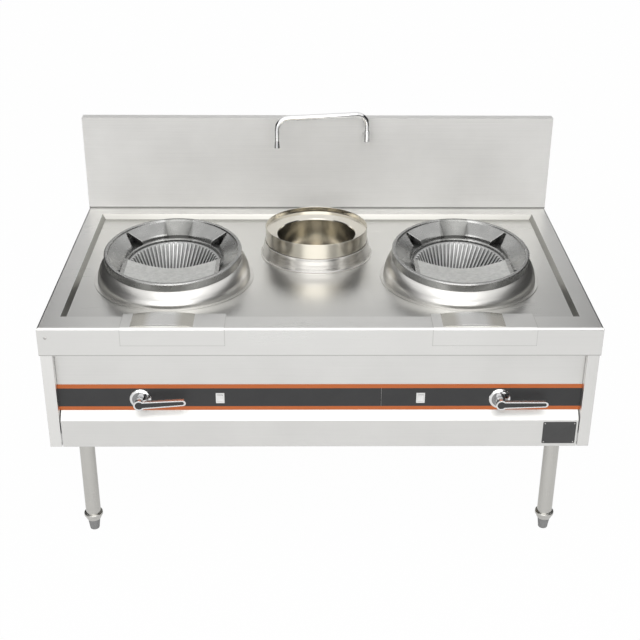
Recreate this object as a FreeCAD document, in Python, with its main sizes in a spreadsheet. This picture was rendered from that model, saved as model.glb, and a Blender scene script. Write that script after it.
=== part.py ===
"""Double wok range: two tilted cast wok rings on drawn collars, a warm pot, splashback and swing spout.

Frame: +X to the cook's right, +Y to the back, +Z up. The origin is on the floor, at the centre of the
whole object's footprint. Depths are measured back from the face of the front apron, heights from the
floor. All sizes are in millimetres.
"""
import FreeCAD, Part
import math
import os
import re
import Sketcher

from FreeCAD import Placement, Rotation, Vector

doc = FreeCAD.newDocument("wok_range")

# ---------------------------------------------------------------- driving dimensions
SIZES = [
    # carcass
    ("width", 1800, "overall width of worktop and splashback"),
    ("depth", 1080, "apron face to back of splashback"),
    ("top_height", 815, "floor to the rims of the worktop"),
    ("sheet", 2, "thickness of the stainless sheet"),
    ("apron", 98, "height of the apron folded down from the rims"),
    ("front_rim", 84, "width of the front rim"),
    ("side_rim", 62, "width of the side rims"),
    ("back_rim", 66, "width of the rear rim in front of the splashback"),
    ("pan_drop", 18, "depth of the recessed pan"),
    ("pan_slope", 12, "run of the sloping wall of the pan"),
    ("splash_rise", 365, "height of the splashback above the rims"),
    ("splash_thick", 40, "thickness of the splashback box"),
    ("belly", 372, "floor to the bottom edge of the carcass"),
    ("side_inset", 4, "side panel set in from the apron's side"),
    ("flange", 38, "width of the side panel's front flange"),
    ("panel_inset", 27, "front panel set back from the apron face"),
    ("band_low", 514, "lower edge of the dark control band"),
    ("band_high", 582, "upper edge of the dark control band"),
    ("stripe", 14, "height of each orange stripe"),
    ("trim_thick", 1.5, "thickness of band, stripes and guard plates"),
    ("guard_width", 334, "width of a guard plate"),
    ("guard_left", 133, "guard plate's left end from its wok station"),
    ("guard_drop", 62, "how far a guard plate hangs down the apron"),
    ("band_seam", 200, "where the two lengths of band meet"),
    ("ledge_low", 472, "lower edge of the bottom rail's sloping ledge"),
    ("lever_reach", 20, "lever's face in front of the apron face"),
    ("rear_reach", 1104, "ends of the rear pipe stubs behind the apron face"),
    # wok stations
    ("wok_x", 497, "centre of a wok station from the middle of the three"),
    ("middle_x", -9, "middle of the three stations from the middle of the top"),
    ("wok_y", 432, "centre of a wok station from the apron face"),
    ("wok_rise", 84, "centre of the ring's top above the rims"),
    ("wok_tilt", 5.5, "tilt of ring and bowl towards the cook, degrees"),
    ("ring_radius", 237, "outer radius of the cast ring"),
    ("ring_wall", 29, "height of the ring's outer wall"),
    ("ring_depth", 54, "height of the whole ring"),
    ("ring_bore", 163, "inner radius of the ring"),
    ("lug_start", -36, "where the side lug starts, degrees back from the ring's side"),
    ("lug_end", 77, "where the rear lug ends"),
    ("notch_turn", 33, "middle of the flame notch between the two lugs"),
    ("crescent_arc", 400, "radius of the crescent plate's inner edge"),
    ("collar_foot", 264, "radius of the collar at the pan"),
    ("collar_belly", 258, "radius of the collar half way up"),
    ("collar_top", 236, "radius of the collar under the ring"),
    ("collar_flange", 276, "radius of the collar's foot flange"),
    ("collar_lip", 216, "inner radius of the seat for the ring"),
    ("bowl_neck", 228, "outer radius of the fire bowl's neck"),
    ("bowl_mouth", 160, "inner radius at the top of the finned wall"),
    ("bowl_floor", 100, "inner radius at the foot of the finned wall"),
    ("bowl_depth", 172, "ring top down to the inside of the bowl's floor"),
    ("bowl_wall", 8, "thickness of the cast bowl"),
    ("burner_hole", 60, "radius of the hole for the burner head"),
    ("fin_count", 60, "fins round one fire bowl"),
    ("fin_thick", 5, "thickness of a fin"),
    ("fin_proud", 9, "how far a fin stands off the liner"),
    ("fin_swirl", 7, "turn of a fin from its top to its foot, degrees"),
    # warm pot
    ("pot_y", 650, "centre of the warm pot from the apron face"),
    ("pot_radius", 184, "outer radius of the pot's band"),
    ("pot_rise", 86, "pot's band above the rims"),
    ("pot_seat", 24, "seat of the pot above the rims"),
    ("pot_mouth", 142, "inner radius of the pot's mouth"),
    ("pot_bowl", 134, "inner radius of the pot's drawn bowl"),
    ("pot_depth", 110, "pot's inside floor below the rims"),
    ("well_radius", 154, "outer radius of the well under the pot"),
    # legs
    ("leg_x", 788, "leg centre from the middle"),
    ("leg_front", 60, "front leg centre from the apron face"),
    ("leg_back", 1020, "rear leg centre from the apron face"),
    ("leg_radius", 25.5, "outer radius of the leg tube"),
    ("leg_bottom", 68, "lower end of the leg tube"),
    ("leg_top", 406, "upper end of the leg tube"),
    ("foot_travel", 25, "how far a screw foot turns out"),
    ("bend", 7, "outer radius of the worktop's front and side bends"),
    # controls
    ("lever_x", 590, "lever axis from the middle"),
    ("lever_z", 542, "lever axis above the floor"),
    ("lever_length", 143, "lever axis to the centre of its tip"),
    ("lever_hub", 18, "radius of the lever's hub end"),
    ("lever_tip", 10, "radius of the lever's tip"),
    ("lever_thick", 13, "thickness of the lever"),
    ("rocker_x", 329, "rocker switch from the middle"),
    ("rocker_z", 546, "rocker switch above the floor"),
    ("rocker_lean", 8, "how far a rocker leans each way, degrees"),
    # spout
    ("spout_x", 185, "spout's swivel axis right of the middle"),
    ("spout_off", 45, "spout's swivel axis in front of the splashback"),
    ("spout_foot", 318, "lower end of the spout's riser above the rims"),
    ("spout_rise", 395, "centre line of the spout's arm above the rims"),
    ("spout_arm", 345, "riser to outlet"),
    ("spout_swing", 10, "how far the arm stands out from the splashback, degrees"),
    ("spout_radius", 10, "outer radius of the spout tube"),
    ("outlet_low", 284, "lower end of the outlet above the rims"),
    # gas and air
    ("header_z", 478, "gas header above the floor"),
    ("header_y", 62, "gas header from the apron face"),
    ("header_radius", 13.5, "outer radius of the gas header"),
    ("inlet_x", 700, "rear gas inlet from the middle"),
    ("duct_z", 575, "air duct above the floor"),
    ("duct_radius", 30, "outer radius of the air duct"),
    ("blower_y", 730, "blower axis from the apron face"),
    ("blower_z", 520, "blower axis above the floor"),
    ("blower_radius", 85, "outer radius of the blower's scroll"),
    ("frame_tube", 32, "side of the base frame's box tube"),
]
ALIASES = {name for name, number, note in SIZES}

sheet = doc.addObject("Spreadsheet::Sheet", "sizes")
for row, (name, number, note) in enumerate(SIZES, 1):
    sheet.set(f"A{row}", note)
    sheet.set(f"B{row}", str(number))
    sheet.setAlias(f"B{row}", name)
doc.recompute()

SIDES = (("left", -1), ("right", 1))
FRONT = "(lever_reach - rear_reach) / 2"      # apron face, from the origin
parts = {}


# ---------------------------------------------------------------- shared workshop functions
def link(text):
    """Turn the sheet's plain words in a formula into references to its cells."""
    return re.sub(r"[a-z_]+", lambda word: "sizes." + word[0] if word[0] in ALIASES else word[0], str(text))


def num(text):
    """Number that a formula of the sheet's words comes to."""
    result = sheet.evalExpression(link(text))
    return float(getattr(result, "Value", result))


def bind(thing, **formulas):
    """Tie properties of a feature to the sheet."""
    for name, text in formulas.items():
        thing.setExpression(name, link(text))
    return thing


def place(thing, x="0", y="0", z="0", turn=None):
    """Put a feature at x, y, z, after an optional turn."""
    if turn:
        thing.Placement = Placement(Vector(), turn)
    for axis, text in (("x", x), ("y", y), ("z", z)):
        thing.setExpression("Placement.Base." + axis, link(text))
    return thing


def add(kind, name):
    return doc.addObject(kind, name)


def box(name, size, corner):
    """Block with its lowest corner at corner."""
    block = bind(add("Part::Box", name), Length=size[0], Width=size[1], Height=size[2])
    return place(block, *corner)


ALONG_X = Rotation(Vector(0, 1, 0), 90)
ALONG_Y = Rotation(Vector(1, 0, 0), -90)


def rod(name, radius, length, foot, turn=None):
    """Round bar that starts at foot and runs along +Z, or along +X or +Y when turned."""
    bar = bind(add("Part::Cylinder", name), Radius=radius, Height=length)
    return place(bar, *foot, turn=turn)


def fuse(name, *shapes):
    joined = add("Part::MultiFuse", name)
    joined.Shapes = list(shapes)
    return joined


def cut(name, base, *tools):
    result = add("Part::Cut", name)
    result.Base = base
    result.Tool = tools[0] if len(tools) == 1 else fuse(name + "_tools", *tools)
    return result


def group(name, *solids):
    """Separate solids that share one node."""
    loose = add("Part::Compound", name)
    loose.Links = list(solids)
    return loose


def keep(node, thing):
    """Make a feature a sub-part."""
    thing.Label = node
    parts[node] = thing
    return thing


def body(name):
    return add("PartDesign::Body", name)


def plane(owner, role):
    return next(face for face in owner.Origin.OriginFeatures if face.Role == role)


def sketch(owner, name, role, offset=None):
    """Empty sketch on one of the body's own planes, lifted off it by offset."""
    page = owner.newObject("Sketcher::SketchObject", name)
    page.AttachmentSupport = (plane(owner, role), [""])
    page.MapMode = "FlatFace"
    if offset:
        page.setExpression("AttachmentOffset.Base.z", link(offset))
    return page


def tie(page, constraint, text):
    """Add a constraint to a sketch and let the sheet drive it."""
    index = page.addConstraint(constraint)
    if ALIASES & set(re.findall(r"[a-z_]+", str(text))):
        page.setExpression(f"Constraints[{index}]", link(text))


def outline(page, corners):
    """Straight-sided outline whose corners are formulas, each tied to the sheet."""
    spots = [Vector(num(x), num(y), 0) for x, y in corners]
    first = page.GeometryCount
    for start, end in zip(spots, spots[1:] + spots[:1]):
        page.addGeometry(Part.LineSegment(start, end))
    count = len(spots)
    for i in range(count):
        page.addConstraint(Sketcher.Constraint("Coincident", first + i, 2, first + (i + 1) % count, 1))
    for i, (x, y) in enumerate(corners):
        for kind, text, number in (("DistanceX", x, spots[i].x), ("DistanceY", y, spots[i].y)):
            tie(page, Sketcher.Constraint(kind, -1, 1, first + i, 1, number), text)
    return page


def ring_line(page, radius, x="0", y="0"):
    """Circle in a sketch."""
    centre = Vector(num(x), num(y), 0)
    index = page.addGeometry(Part.Circle(centre, Vector(0, 0, 1), num(radius)))
    tie(page, Sketcher.Constraint("DistanceX", -1, 1, index, 3, centre.x), x)
    tie(page, Sketcher.Constraint("DistanceY", -1, 1, index, 3, centre.y), y)
    tie(page, Sketcher.Constraint("Radius", index, num(radius)), radius)
    return page


def rectangle(page, x0, y0, x1, y1):
    return outline(page, [(x0, y0), (x1, y0), (x1, y1), (x0, y1)])


def pad(owner, name, page, length, **options):
    feature = owner.newObject("PartDesign::Pad", name)
    feature.Profile = page
    bind(feature, Length=length)
    for key, setting in options.items():
        setattr(feature, key, setting)
    return feature


def pocket(owner, name, page, length, **options):
    feature = owner.newObject("PartDesign::Pocket", name)
    feature.Profile = page
    bind(feature, Length=length)
    for key, setting in options.items():
        setattr(feature, key, setting)
    return feature


def revolve(owner, name, page, angle=360, axis="V_Axis"):
    """Turn a sketch about its own upright axis."""
    feature = owner.newObject("PartDesign::Revolution", name)
    feature.Profile = page
    feature.ReferenceAxis = (page, [axis])
    feature.Angle = angle
    feature.Midplane = angle < 360
    return feature


def rounded(owner, name, radius, chosen):
    """Round the edges of a body whose bounding boxes pass the test."""
    doc.recompute()
    base = owner.Tip
    feature = owner.newObject("PartDesign::Fillet", name)
    feature.Base = (base, [f"Edge{i}" for i, edge in enumerate(base.Shape.Edges, 1)
                           if chosen(edge.BoundBox)])
    return bind(feature, Radius=radius)


def turned(node, corners, turn=None, **at):
    """Sub-part turned on a lathe: corners are radius and height."""
    owner = body(node)
    revolve(owner, node + "_turning", outline(sketch(owner, node + "_profile", "XZ_Plane"), corners))
    return keep(node, place(owner, turn=turn, **at))


def folded(node, corners, length, x, y="0", z="0"):
    """Sub-part folded from sheet: corners are depth and height of its section, which runs along X."""
    owner = body(node)
    page = outline(sketch(owner, node + "_section", "YZ_Plane"), corners)
    pad(owner, node + "_run", page, length)
    return keep(node, place(owner, x=x, y=y, z=z))


def pipe(name, spots, bend, radius, bore=0):
    """Round pipe along straight runs joined by tangent arcs; spots are places, bend is the arcs' radius."""
    edges = []
    start = spots[0]
    for i in range(1, len(spots) - 1):
        into = (spots[i] - spots[i - 1]).normalize()
        out = (spots[i + 1] - spots[i]).normalize()
        turn = into.getAngle(out)
        reach = bend * math.tan(turn / 2)
        first = spots[i] - into * reach
        last = spots[i] + out * reach
        inward = (out - into).normalize()
        middle = spots[i] + inward * (bend / math.cos(turn / 2) - bend)
        edges.append(Part.LineSegment(start, first).toShape())
        edges.append(Part.Arc(first, middle, last).toShape())
        start = last
    edges.append(Part.LineSegment(start, spots[-1]).toShape())
    path = Part.Wire(edges)
    along = (spots[1] - spots[0]).normalize()

    def tube(size):
        ring = Part.Wire(Part.Circle(spots[0], along, size).toShape())
        return path.makePipeShell([ring], True, False)

    solid = tube(radius)
    if bore:
        solid = solid.cut(tube(bore))
    feature = add("Part::Feature", name)
    feature.Shape = solid
    return feature


# ---------------------------------------------------------------- carcass
def worktop():
    """Pressed top: rims, a sunk pan with sloping walls, and an apron folded down all round."""
    owner = body("worktop")
    half = "width / 2"
    left, right = "side_rim - width / 2", "width / 2 - side_rim"
    near, far = "front_rim", "depth - splash_thick - back_rim"
    block = rectangle(sketch(owner, "top_outline", "XY_Plane"), "-" + half, "0", half, "depth")
    pad(owner, "top_block", block, "apron")
    hollow = sketch(owner, "underside", "XY_Plane")
    rectangle(hollow, "sheet - width / 2", "sheet", "width / 2 - sheet", "depth - sheet")
    pocket(owner, "underside_hollow", hollow, "apron - sheet", Reversed=True)
    for name, level, radius in (("inner_bend", num("apron - sheet"), "bend - sheet"),
                                ("outer_bend", num("apron"), "bend")):
        rounded(owner, name, radius, lambda edge: edge.YMin < 10 and abs(edge.ZMin - level) < 0.01)

    def pan_frustum(kind, name, height, grow):
        pages = []
        for level, lean in (("top", "0"), ("floor", "pan_slope")):
            page = sketch(owner, f"{name}_{level}", "XY_Plane",
                          height + (" - pan_drop" if level == "floor" else ""))
            lean = f"{lean} - {grow}"
            rectangle(page, f"{left} + {lean}", f"{near} + {lean}",
                      f"{right} - ({lean})", f"{far} - ({lean})")
            pages.append(page)
        frustum = owner.newObject("PartDesign::" + kind, name)
        frustum.Profile = pages[0]
        frustum.Sections = [pages[1]]

    pan_frustum("AdditiveLoft", "pan_block", "apron - sheet", "sheet")
    pan_frustum("SubtractiveLoft", "pan_hollow", "apron", "0")
    holes = sketch(owner, "top_holes", "XY_Plane", "apron")
    for side, sign in SIDES:
        ring_line(holes, "collar_flange - 22", f"{sign} * wok_x + middle_x", "wok_y")
    ring_line(holes, "well_radius + 6", "middle_x", "pot_y")
    pocket(owner, "top_openings", holes, "pan_drop + 3 * sheet")
    keep("worktop", place(owner, y=FRONT, z="top_height - apron"))


def splashback():
    """Upright box folded from sheet, open underneath."""
    shell = box("splash_skin", ("width", "splash_thick", "splash_rise"), ("-width / 2", "0", "0"))
    room = box("splash_room", ("width - 2 * sheet", "splash_thick - 2 * sheet", "splash_rise - 2 * sheet"),
               ("sheet - width / 2", "sheet", "sheet"))
    bore = rod("splash_bore", "spout_radius + 1.5", "splash_thick + 2",
               ("spout_x", "-1", "spout_foot - 12"), ALONG_Y)
    keep("splashback", place(cut("splash_box", shell, room, bore),
                             y=f"{FRONT} + depth - splash_thick", z="top_height"))


def panels():
    """Side, back and front panels and the bottom rail, each folded from one sheet."""
    for side, sign in SIDES:
        outer = f"{sign} * (width / 2 - side_inset)"
        skin = f"{sign} * (width / 2 - side_inset - sheet)"
        lip = f"{sign} * (width / 2 - side_inset - flange)"
        fold = f"{sign} * (width / 2 - side_inset - flange + sheet)"
        owner = body(f"side_panel_{side}")
        page = outline(sketch(owner, f"side_section_{side}", "XY_Plane"), [
            (outer, "sheet"), (outer, "depth - 2 * sheet"), (lip, "depth - 2 * sheet"),
            (lip, "depth - 3 * sheet"), (skin, "depth - 3 * sheet"), (skin, "2 * sheet"),
            (fold, "2 * sheet"), (fold, "panel_inset - 3"), (lip, "panel_inset - 3"), (lip, "sheet")])
        pad(owner, f"side_run_{side}", page, "top_height - 10 * sheet - belly")
        keep(f"side_panel_{side}", place(owner, y=FRONT, z="belly"))
    span = "width - 2 * side_inset - 2 * sheet"
    back_sheet = box("back_sheet", (span, "sheet", "top_height - 10 * sheet - belly"),
                     (f"-({span}) / 2", f"{FRONT} + depth - 4 * sheet", "belly"))
    gas_hole = rod("gas_hole", "header_radius + 2", "3 * sheet",
                   ("inlet_x", f"{FRONT} + depth - 5 * sheet", "header_z"), ALONG_Y)
    keep("back_panel", cut("back_panel_cut", back_sheet, gas_hole))

    sheet_blank = box("front_sheet", (span, "sheet", "top_height - 10 * sheet - ledge_low - 28"),
                      (f"-({span}) / 2", f"{FRONT} + panel_inset", "ledge_low + 28"))
    holes = []
    for side, sign in SIDES:
        holes.append(rod(f"stem_hole_{side}", "8", "4 * sheet",
                         (f"{sign} * lever_x", f"{FRONT} + panel_inset - sheet", "lever_z"), ALONG_Y))
        holes.append(box(f"switch_hole_{side}", ("22", "4 * sheet", "30"),
                         (f"{sign} * rocker_x - 11", f"{FRONT} + panel_inset - sheet", "rocker_z - 15")))
    keep("front_panel", cut("front_panel_cut", sheet_blank, *holes))

    half_run = "(width / 2 - side_inset - flange - 4)"
    folded("bottom_rail", [
        ("sheet", "belly"), ("sheet", "ledge_low"), ("panel_inset", "ledge_low + 28"),
        ("panel_inset + sheet", "ledge_low + 28"), ("2 * sheet", "ledge_low - 1"),
        ("2 * sheet", "belly + sheet"), ("panel_inset", "belly + sheet"), ("panel_inset", "belly")],
        "2 * " + half_run, "-" + half_run, FRONT)


def control_strip():
    """Dark band in two lengths with an orange stripe along each edge, laid on the front panel."""
    end = "(width / 2 - side_inset - flange + 6)"
    face = f"{FRONT} + panel_inset - trim_thick"
    for side, start, stop in (("left", f"-{end}", "band_seam - 0.4"), ("right", "band_seam + 0.4", end)):
        strip = box(f"band_strip_{side}", (f"{stop} - ({start})", "trim_thick", "band_high - band_low"),
                    (start, face, "band_low"))
        sign = -1 if side == "left" else 1
        stem = rod(f"band_stem_hole_{side}", "8", "4 * sheet",
                   (f"{sign} * lever_x", f"{face} - sheet", "lever_z"), ALONG_Y)
        slot = box(f"band_switch_hole_{side}", ("22", "4 * sheet", "30"),
                   (f"{sign} * rocker_x - 11", f"{face} - sheet", "rocker_z - 15"))
        keep(f"control_band_{side}", cut(f"control_band_cut_{side}", strip, stem, slot))
    keep("orange_stripes", group("stripe_pair", *[
        box(f"stripe_{level}", (f"2 * {end}", "trim_thick", "stripe"), (f"-{end}", face, low))
        for level, low in (("upper", "band_high"), ("lower", "band_low - stripe"))]))


def box_tube(name, size, corner, along):
    """Square tube, 2 mm wall; along is the axis that it runs along."""
    room = [length if i == along else f"{length} - 2 * sheet" for i, length in enumerate(size)]
    start = [spot if i == along else f"{spot} + sheet" for i, spot in enumerate(corner)]
    return cut(name, box(name + "_skin", size, corner), box(name + "_room", room, start))


def base_frame():
    """Box-tube frame with corner plates and the leg sockets welded under them."""
    inner = "(width / 2 - side_inset - sheet)"
    near, far = f"({FRONT} + panel_inset + 2 * sheet)", f"({FRONT} + depth - 4 * sheet)"
    floor = "belly + sheet"
    solids = []
    for side, sign in SIDES:
        edge = inner + " - frame_tube" if sign > 0 else "-" + inner
        solids.append(box_tube(f"side_tube_{side}", ("frame_tube", f"{far} - {near}", "frame_tube"),
                               (edge, near, floor), 1))
    run = f"2 * ({inner} - frame_tube)"
    for name, y in (("front_tube", f"{near} + 70"), ("back_tube", f"{far} - 84 - frame_tube"),
                    ("blower_tube", f"{FRONT} + blower_y - frame_tube / 2")):
        solids.append(box_tube(name, (run, "frame_tube", "frame_tube"), (f"-({run}) / 2", y, floor), 0))
    for side, sign in SIDES:
        edge = inner + " - 144" if sign > 0 else "-" + inner
        for level, leg, y in (("front", "leg_front", near), ("back", "leg_back", f"{far} - 118")):
            name = f"{level}_{side}"
            solids.append(box(f"corner_plate_{name}", ("144", "118", "4"), (edge, y, "leg_top")))
            spot = (f"{sign} * leg_x", f"{FRONT} + {leg}")
            sleeve = rod(f"sleeve_{name}", "leg_radius + 3.3", "leg_top - belly - 2 * sheet",
                         (*spot, "belly + 2 * sheet"))
            bore = rod(f"sleeve_bore_{name}", "leg_radius + 0.1", "leg_top - belly", (*spot, "belly"))
            solids.append(cut(f"socket_{name}", sleeve, bore))
    keep("base_frame", group("frame_weldment", *solids))


def guard_plates():
    """Sheet folded over the front rim under each wok, with an arched rest pressed up in the middle."""
    for side, sign in SIDES:
        station = dict(y=FRONT, z="top_height + 0.05")
        owner = body(f"guard_fold_{side}")
        page = outline(sketch(owner, f"guard_section_{side}", "YZ_Plane"), [
            ("-trim_thick", "-guard_drop"), ("-trim_thick", "trim_thick"), ("102", "trim_thick"),
            ("102", "0"), ("0", "0"), ("0", "-guard_drop")])
        pad(owner, f"guard_run_{side}", page, "guard_width")
        for name, level, radius in (("inside", 0, "bend"),
                                    ("outside", num("trim_thick"), "bend + trim_thick")):
            rounded(owner, f"guard_{name}_{side}", radius,
                    lambda edge: edge.YMax < 0.01 < edge.XLength and abs(edge.Center.z - level) < 0.01)
        place(owner, x=f"{sign} * wok_x + middle_x - guard_left", **station)
        arch = rod(f"arch_round_{side}", "631", "100", ("0", "9", "9.5 - 631"), ALONG_Y)
        under = box(f"arch_window_{side}", ("200", "92", "12"), ("-100", "9", "trim_thick / 2"))
        saddle = add("Part::Common", f"arch_{side}")
        saddle.Base = arch
        saddle.Tool = under
        place(saddle, x=f"{sign} * wok_x + middle_x", **station)
        keep(f"guard_plate_{side}", fuse(f"guard_whole_{side}", owner, saddle))


def legs_and_feet():
    """Stainless tube legs with a ringed bush at the foot, and screw feet."""
    spots = [(f"{level}_{side}", sign, y) for side, sign in SIDES
             for level, y in (("front", "leg_front"), ("back", "leg_back"))]
    for name, sign, y in spots:
        at = dict(x=f"{sign} * leg_x", y=f"{FRONT} + {y}")
        turned(f"leg_{name}", [
            ("leg_radius - 1.5", "leg_bottom"), ("8.3", "leg_bottom"), ("8.3", "42"), ("24", "42"),
            ("30", "57"), ("32", "58.5"), ("32", "66.5"), ("30.5", "leg_bottom"),
            ("leg_radius", "leg_bottom + 1"), ("leg_radius", "leg_top"),
            ("leg_radius - 1.5", "leg_top")], **at)
        turned(f"foot_{name}", [
            ("0", "0"), ("15", "0"), ("16", "1.5"), ("20.5", "36"), ("20.5", "40"), ("19", "41.7"),
            ("8", "41.7"), ("8", "leg_bottom + foot_travel + 19"), ("7", "leg_bottom + foot_travel + 20"),
            ("0", "leg_bottom + foot_travel + 20")], **at)


# ---------------------------------------------------------------- wok stations
def tilted(thing, sign):
    """Put a feature in a wok station's own frame: the centre of the ring's top, leaning to the cook."""
    return place(thing, f"{sign} * wok_x + middle_x", f"{FRONT} + wok_y", "top_height + wok_rise",
                 turn=Rotation(Vector(1, 0, 0), num("wok_tilt")))


def wok_collars():
    """Drawn collar: bulging wall, rolled flange on the pan, and a leaning seat for the ring."""
    foot = "(wok_rise + pan_drop - ring_wall * cos(wok_tilt * 1deg))"
    lean = "ring_wall * sin(wok_tilt * 1deg)"
    for side, sign in SIDES:
        walls = []
        for skin, less in (("outer", "0"), ("inner", "2.5")):
            rings = []
            for level, height, share in (("foot", "0", 0), ("belly", "0.52", 0.5), ("top", "1", 1)):
                hoop = bind(add("Part::Circle", f"{level}_{skin}_{side}"), Radius=f"collar_{level} - {less}")
                hoop.Placement = Placement(Vector(), Rotation(Vector(1, 0, 0), share * num("wok_tilt")))
                hoop.setExpression("Placement.Base.y", link(f"{height} * {lean}"))
                hoop.setExpression("Placement.Base.z", link(f"{height} * {foot}"))
                rings.append(hoop)
            wall = add("Part::Loft", f"collar_{skin}_{side}")
            wall.Sections = rings
            wall.Solid = True
            walls.append(wall)
        shell = cut(f"collar_wall_{side}", *walls)
        flange = cut(f"collar_flange_ring_{side}",
                     rod(f"flange_disc_{side}", "collar_flange", "sheet", ("0", "0", "0")),
                     rod(f"flange_hole_{side}", "collar_foot - 1", "3 * sheet", ("0", "0", "-sheet")))
        seat = rod(f"seat_disc_{side}", "collar_top - 0.6", "3", ("0", "0", "0"))
        hole = rod(f"seat_hole_{side}", "collar_lip", "9", ("0", "0", "-3"))
        lip = cut(f"collar_seat_{side}", seat, hole)
        place(lip, y=lean, z=f"{foot} - 3", turn=Rotation(Vector(1, 0, 0), num("wok_tilt")))
        keep(f"wok_collar_{side}", place(fuse(f"collar_weldment_{side}", shell, flange, lip),
                                         f"{sign} * wok_x + middle_x", f"{FRONT} + wok_y",
                                         "top_height - pan_drop"))


def turned_page(owner, name, angle):
    """Upright sketch through the body's axis, turned by angle from its XZ plane."""
    page = sketch(owner, name, "XZ_Plane")
    page.AttachmentOffset = Placement(Vector(), Rotation(Vector(0, 1, 0), num(angle)))
    return page


def wok_rings():
    """Cast ring: sloping lugs parted by flame channels, and a crescent plate at the front."""
    for side, sign in SIDES:
        owner = body(f"wok_ring_{side}")
        hoop = outline(sketch(owner, f"ring_hoop_{side}", "XZ_Plane"), [
            ("ring_radius", "0.3 - ring_wall"), ("ring_radius", "-3"), ("ring_radius - 3", "0"),
            ("ring_radius - 12", "0"), ("ring_radius - 15", "-6"), ("ring_bore + 30", "-42"),
            ("ring_bore + 26", "-45"), ("ring_bore + 3", "-46"), ("ring_bore", "-49"),
            ("ring_bore", "-ring_depth"), ("collar_lip - 18", "-ring_depth"),
            ("collar_lip - 3", "-ring_wall - 5"), ("collar_lip - 3", "0.3 - ring_wall")])
        revolve(owner, f"ring_turning_{side}", hoop)
        lug_page = turned_page(owner, f"lug_section_{side}", "(lug_start + lug_end) / 2")
        lug = revolve(owner, f"lug_{side}", outline(lug_page, [
            ("ring_radius - 5", "-0.4"), ("ring_bore + 11", "-30"), ("ring_bore + 7", "-34"),
            ("ring_bore + 6", "-46.5"), ("ring_radius - 42", "-46.5"), ("ring_radius - 22", "-20")]),
            num("lug_end - lug_start"))
        notch_page = turned_page(owner, f"notch_section_{side}", "notch_turn + 90")
        notch = pocket(owner, f"notch_{side}", outline(notch_page, [
            ("-36", "-46"), ("36", "-46"), ("20", "-4"), ("14", "-4")]), "ring_radius - 17", Reversed=True)
        mirror = owner.newObject("PartDesign::Mirrored", f"lugs_{side}")
        mirror.Originals = [lug, notch]
        mirror.MirrorPlane = (plane(owner, "YZ_Plane"), [""])
        owner.Tip = mirror
        casting = tilted(owner, sign)
        crescent = tilted(front_crescent(side), sign)
        keep(f"wok_ring_{side}", fuse(f"ring_casting_{side}", casting, crescent))


def front_crescent(side):
    """Plate that closes the front of the ring, from its rim to an arc set back under the wok."""
    owner = body(f"crescent_{side}")
    dish = outline(sketch(owner, f"dish_section_{side}", "XZ_Plane"), [
        ("ring_radius - 13", "-5"), ("ring_bore - 105", "-38"), ("ring_bore - 105", "-47"),
        ("ring_radius - 13", "-15")])
    revolve(owner, f"dish_{side}", dish)
    opening = ring_line(sketch(owner, f"crescent_arc_{side}", "XY_Plane"), "crescent_arc", "0",
                        "crescent_arc - 67")
    pocket(owner, f"crescent_opening_{side}", opening, "60")
    ends = sketch(owner, f"crescent_ends_{side}", "XY_Plane")
    for sign in (-1, 1):
        rectangle(ends, f"{sign} * (ring_bore + 2)", "-240", f"{sign} * 240", "240")
    pocket(owner, f"crescent_trim_{side}", ends, "60")
    return owner


def fire_bowls():
    """Cast fire bowl under each ring: a neck up to the collar, a shelf, and a tapering wall."""
    for side, sign in SIDES:
        owner = body(f"fire_bowl_{side}")
        wall = outline(sketch(owner, f"bowl_section_{side}", "XZ_Plane"), [
            ("bowl_neck - bowl_wall", "-3 - ring_wall"), ("bowl_neck", "-3 - ring_wall"),
            ("bowl_neck", "-ring_depth - 10"), ("bowl_mouth + bowl_wall + 2", "-ring_depth - 10"),
            ("bowl_floor + bowl_wall", "-bowl_depth - 2"), ("bowl_floor + 4", "-bowl_depth - bowl_wall"),
            ("burner_hole", "-bowl_depth - bowl_wall"), ("burner_hole", "-bowl_depth"),
            ("bowl_floor", "-bowl_depth"), ("bowl_mouth", "-ring_depth - 2"),
            ("bowl_neck - bowl_wall", "-ring_depth - 2")])
        revolve(owner, f"bowl_turning_{side}", wall)
        keep(f"fire_bowl_{side}", tilted(owner, sign))


def bowl_fins():
    """Crown of cast fins on a thin liner inside each bowl; every fin leans round as it goes down."""
    for side, sign in SIDES:
        owner = body(f"bowl_fins_{side}")
        top, foot = "-ring_depth - 3", "2 - bowl_depth"
        levels = (("top", top, "bowl_mouth - 2.5", 0),
                  ("waist", f"(2 * ({top}) + {foot}) / 3", "(2 * bowl_mouth + bowl_floor) / 3 - 2", 0.2),
                  ("foot", foot, "bowl_floor", 1))
        liner = outline(sketch(owner, f"liner_section_{side}", "XZ_Plane"), [
            ("bowl_mouth - 0.8", top), ("bowl_floor + 0.7", foot), ("bowl_floor - 2", foot),
            ("bowl_mouth - 4", top)])
        revolve(owner, f"liner_{side}", liner)
        pages = []
        for level, height, radius, share in levels:
            page = sketch(owner, f"fin_{level}_{side}", "XY_Plane", height)
            rectangle(page, f"{radius} - fin_proud", "-fin_thick / 2", radius, "fin_thick / 2")
            page.AttachmentOffset = Placement(page.AttachmentOffset.Base,
                                              Rotation(Vector(0, 0, 1), share * num("fin_swirl")))
            pages.append(page)
        fin = owner.newObject("PartDesign::AdditiveLoft", f"fin_{side}")
        fin.Profile = pages[0]
        fin.Sections = pages[1:]
        fin.Ruled = True
        crown = owner.newObject("PartDesign::PolarPattern", f"fin_crown_{side}")
        crown.Originals = [fin]
        crown.Axis = (liner, ["V_Axis"])
        crown.Angle = 360
        bind(crown, Occurrences="fin_count")
        owner.Tip = crown
        keep(f"bowl_fins_{side}", tilted(owner, sign))


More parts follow.
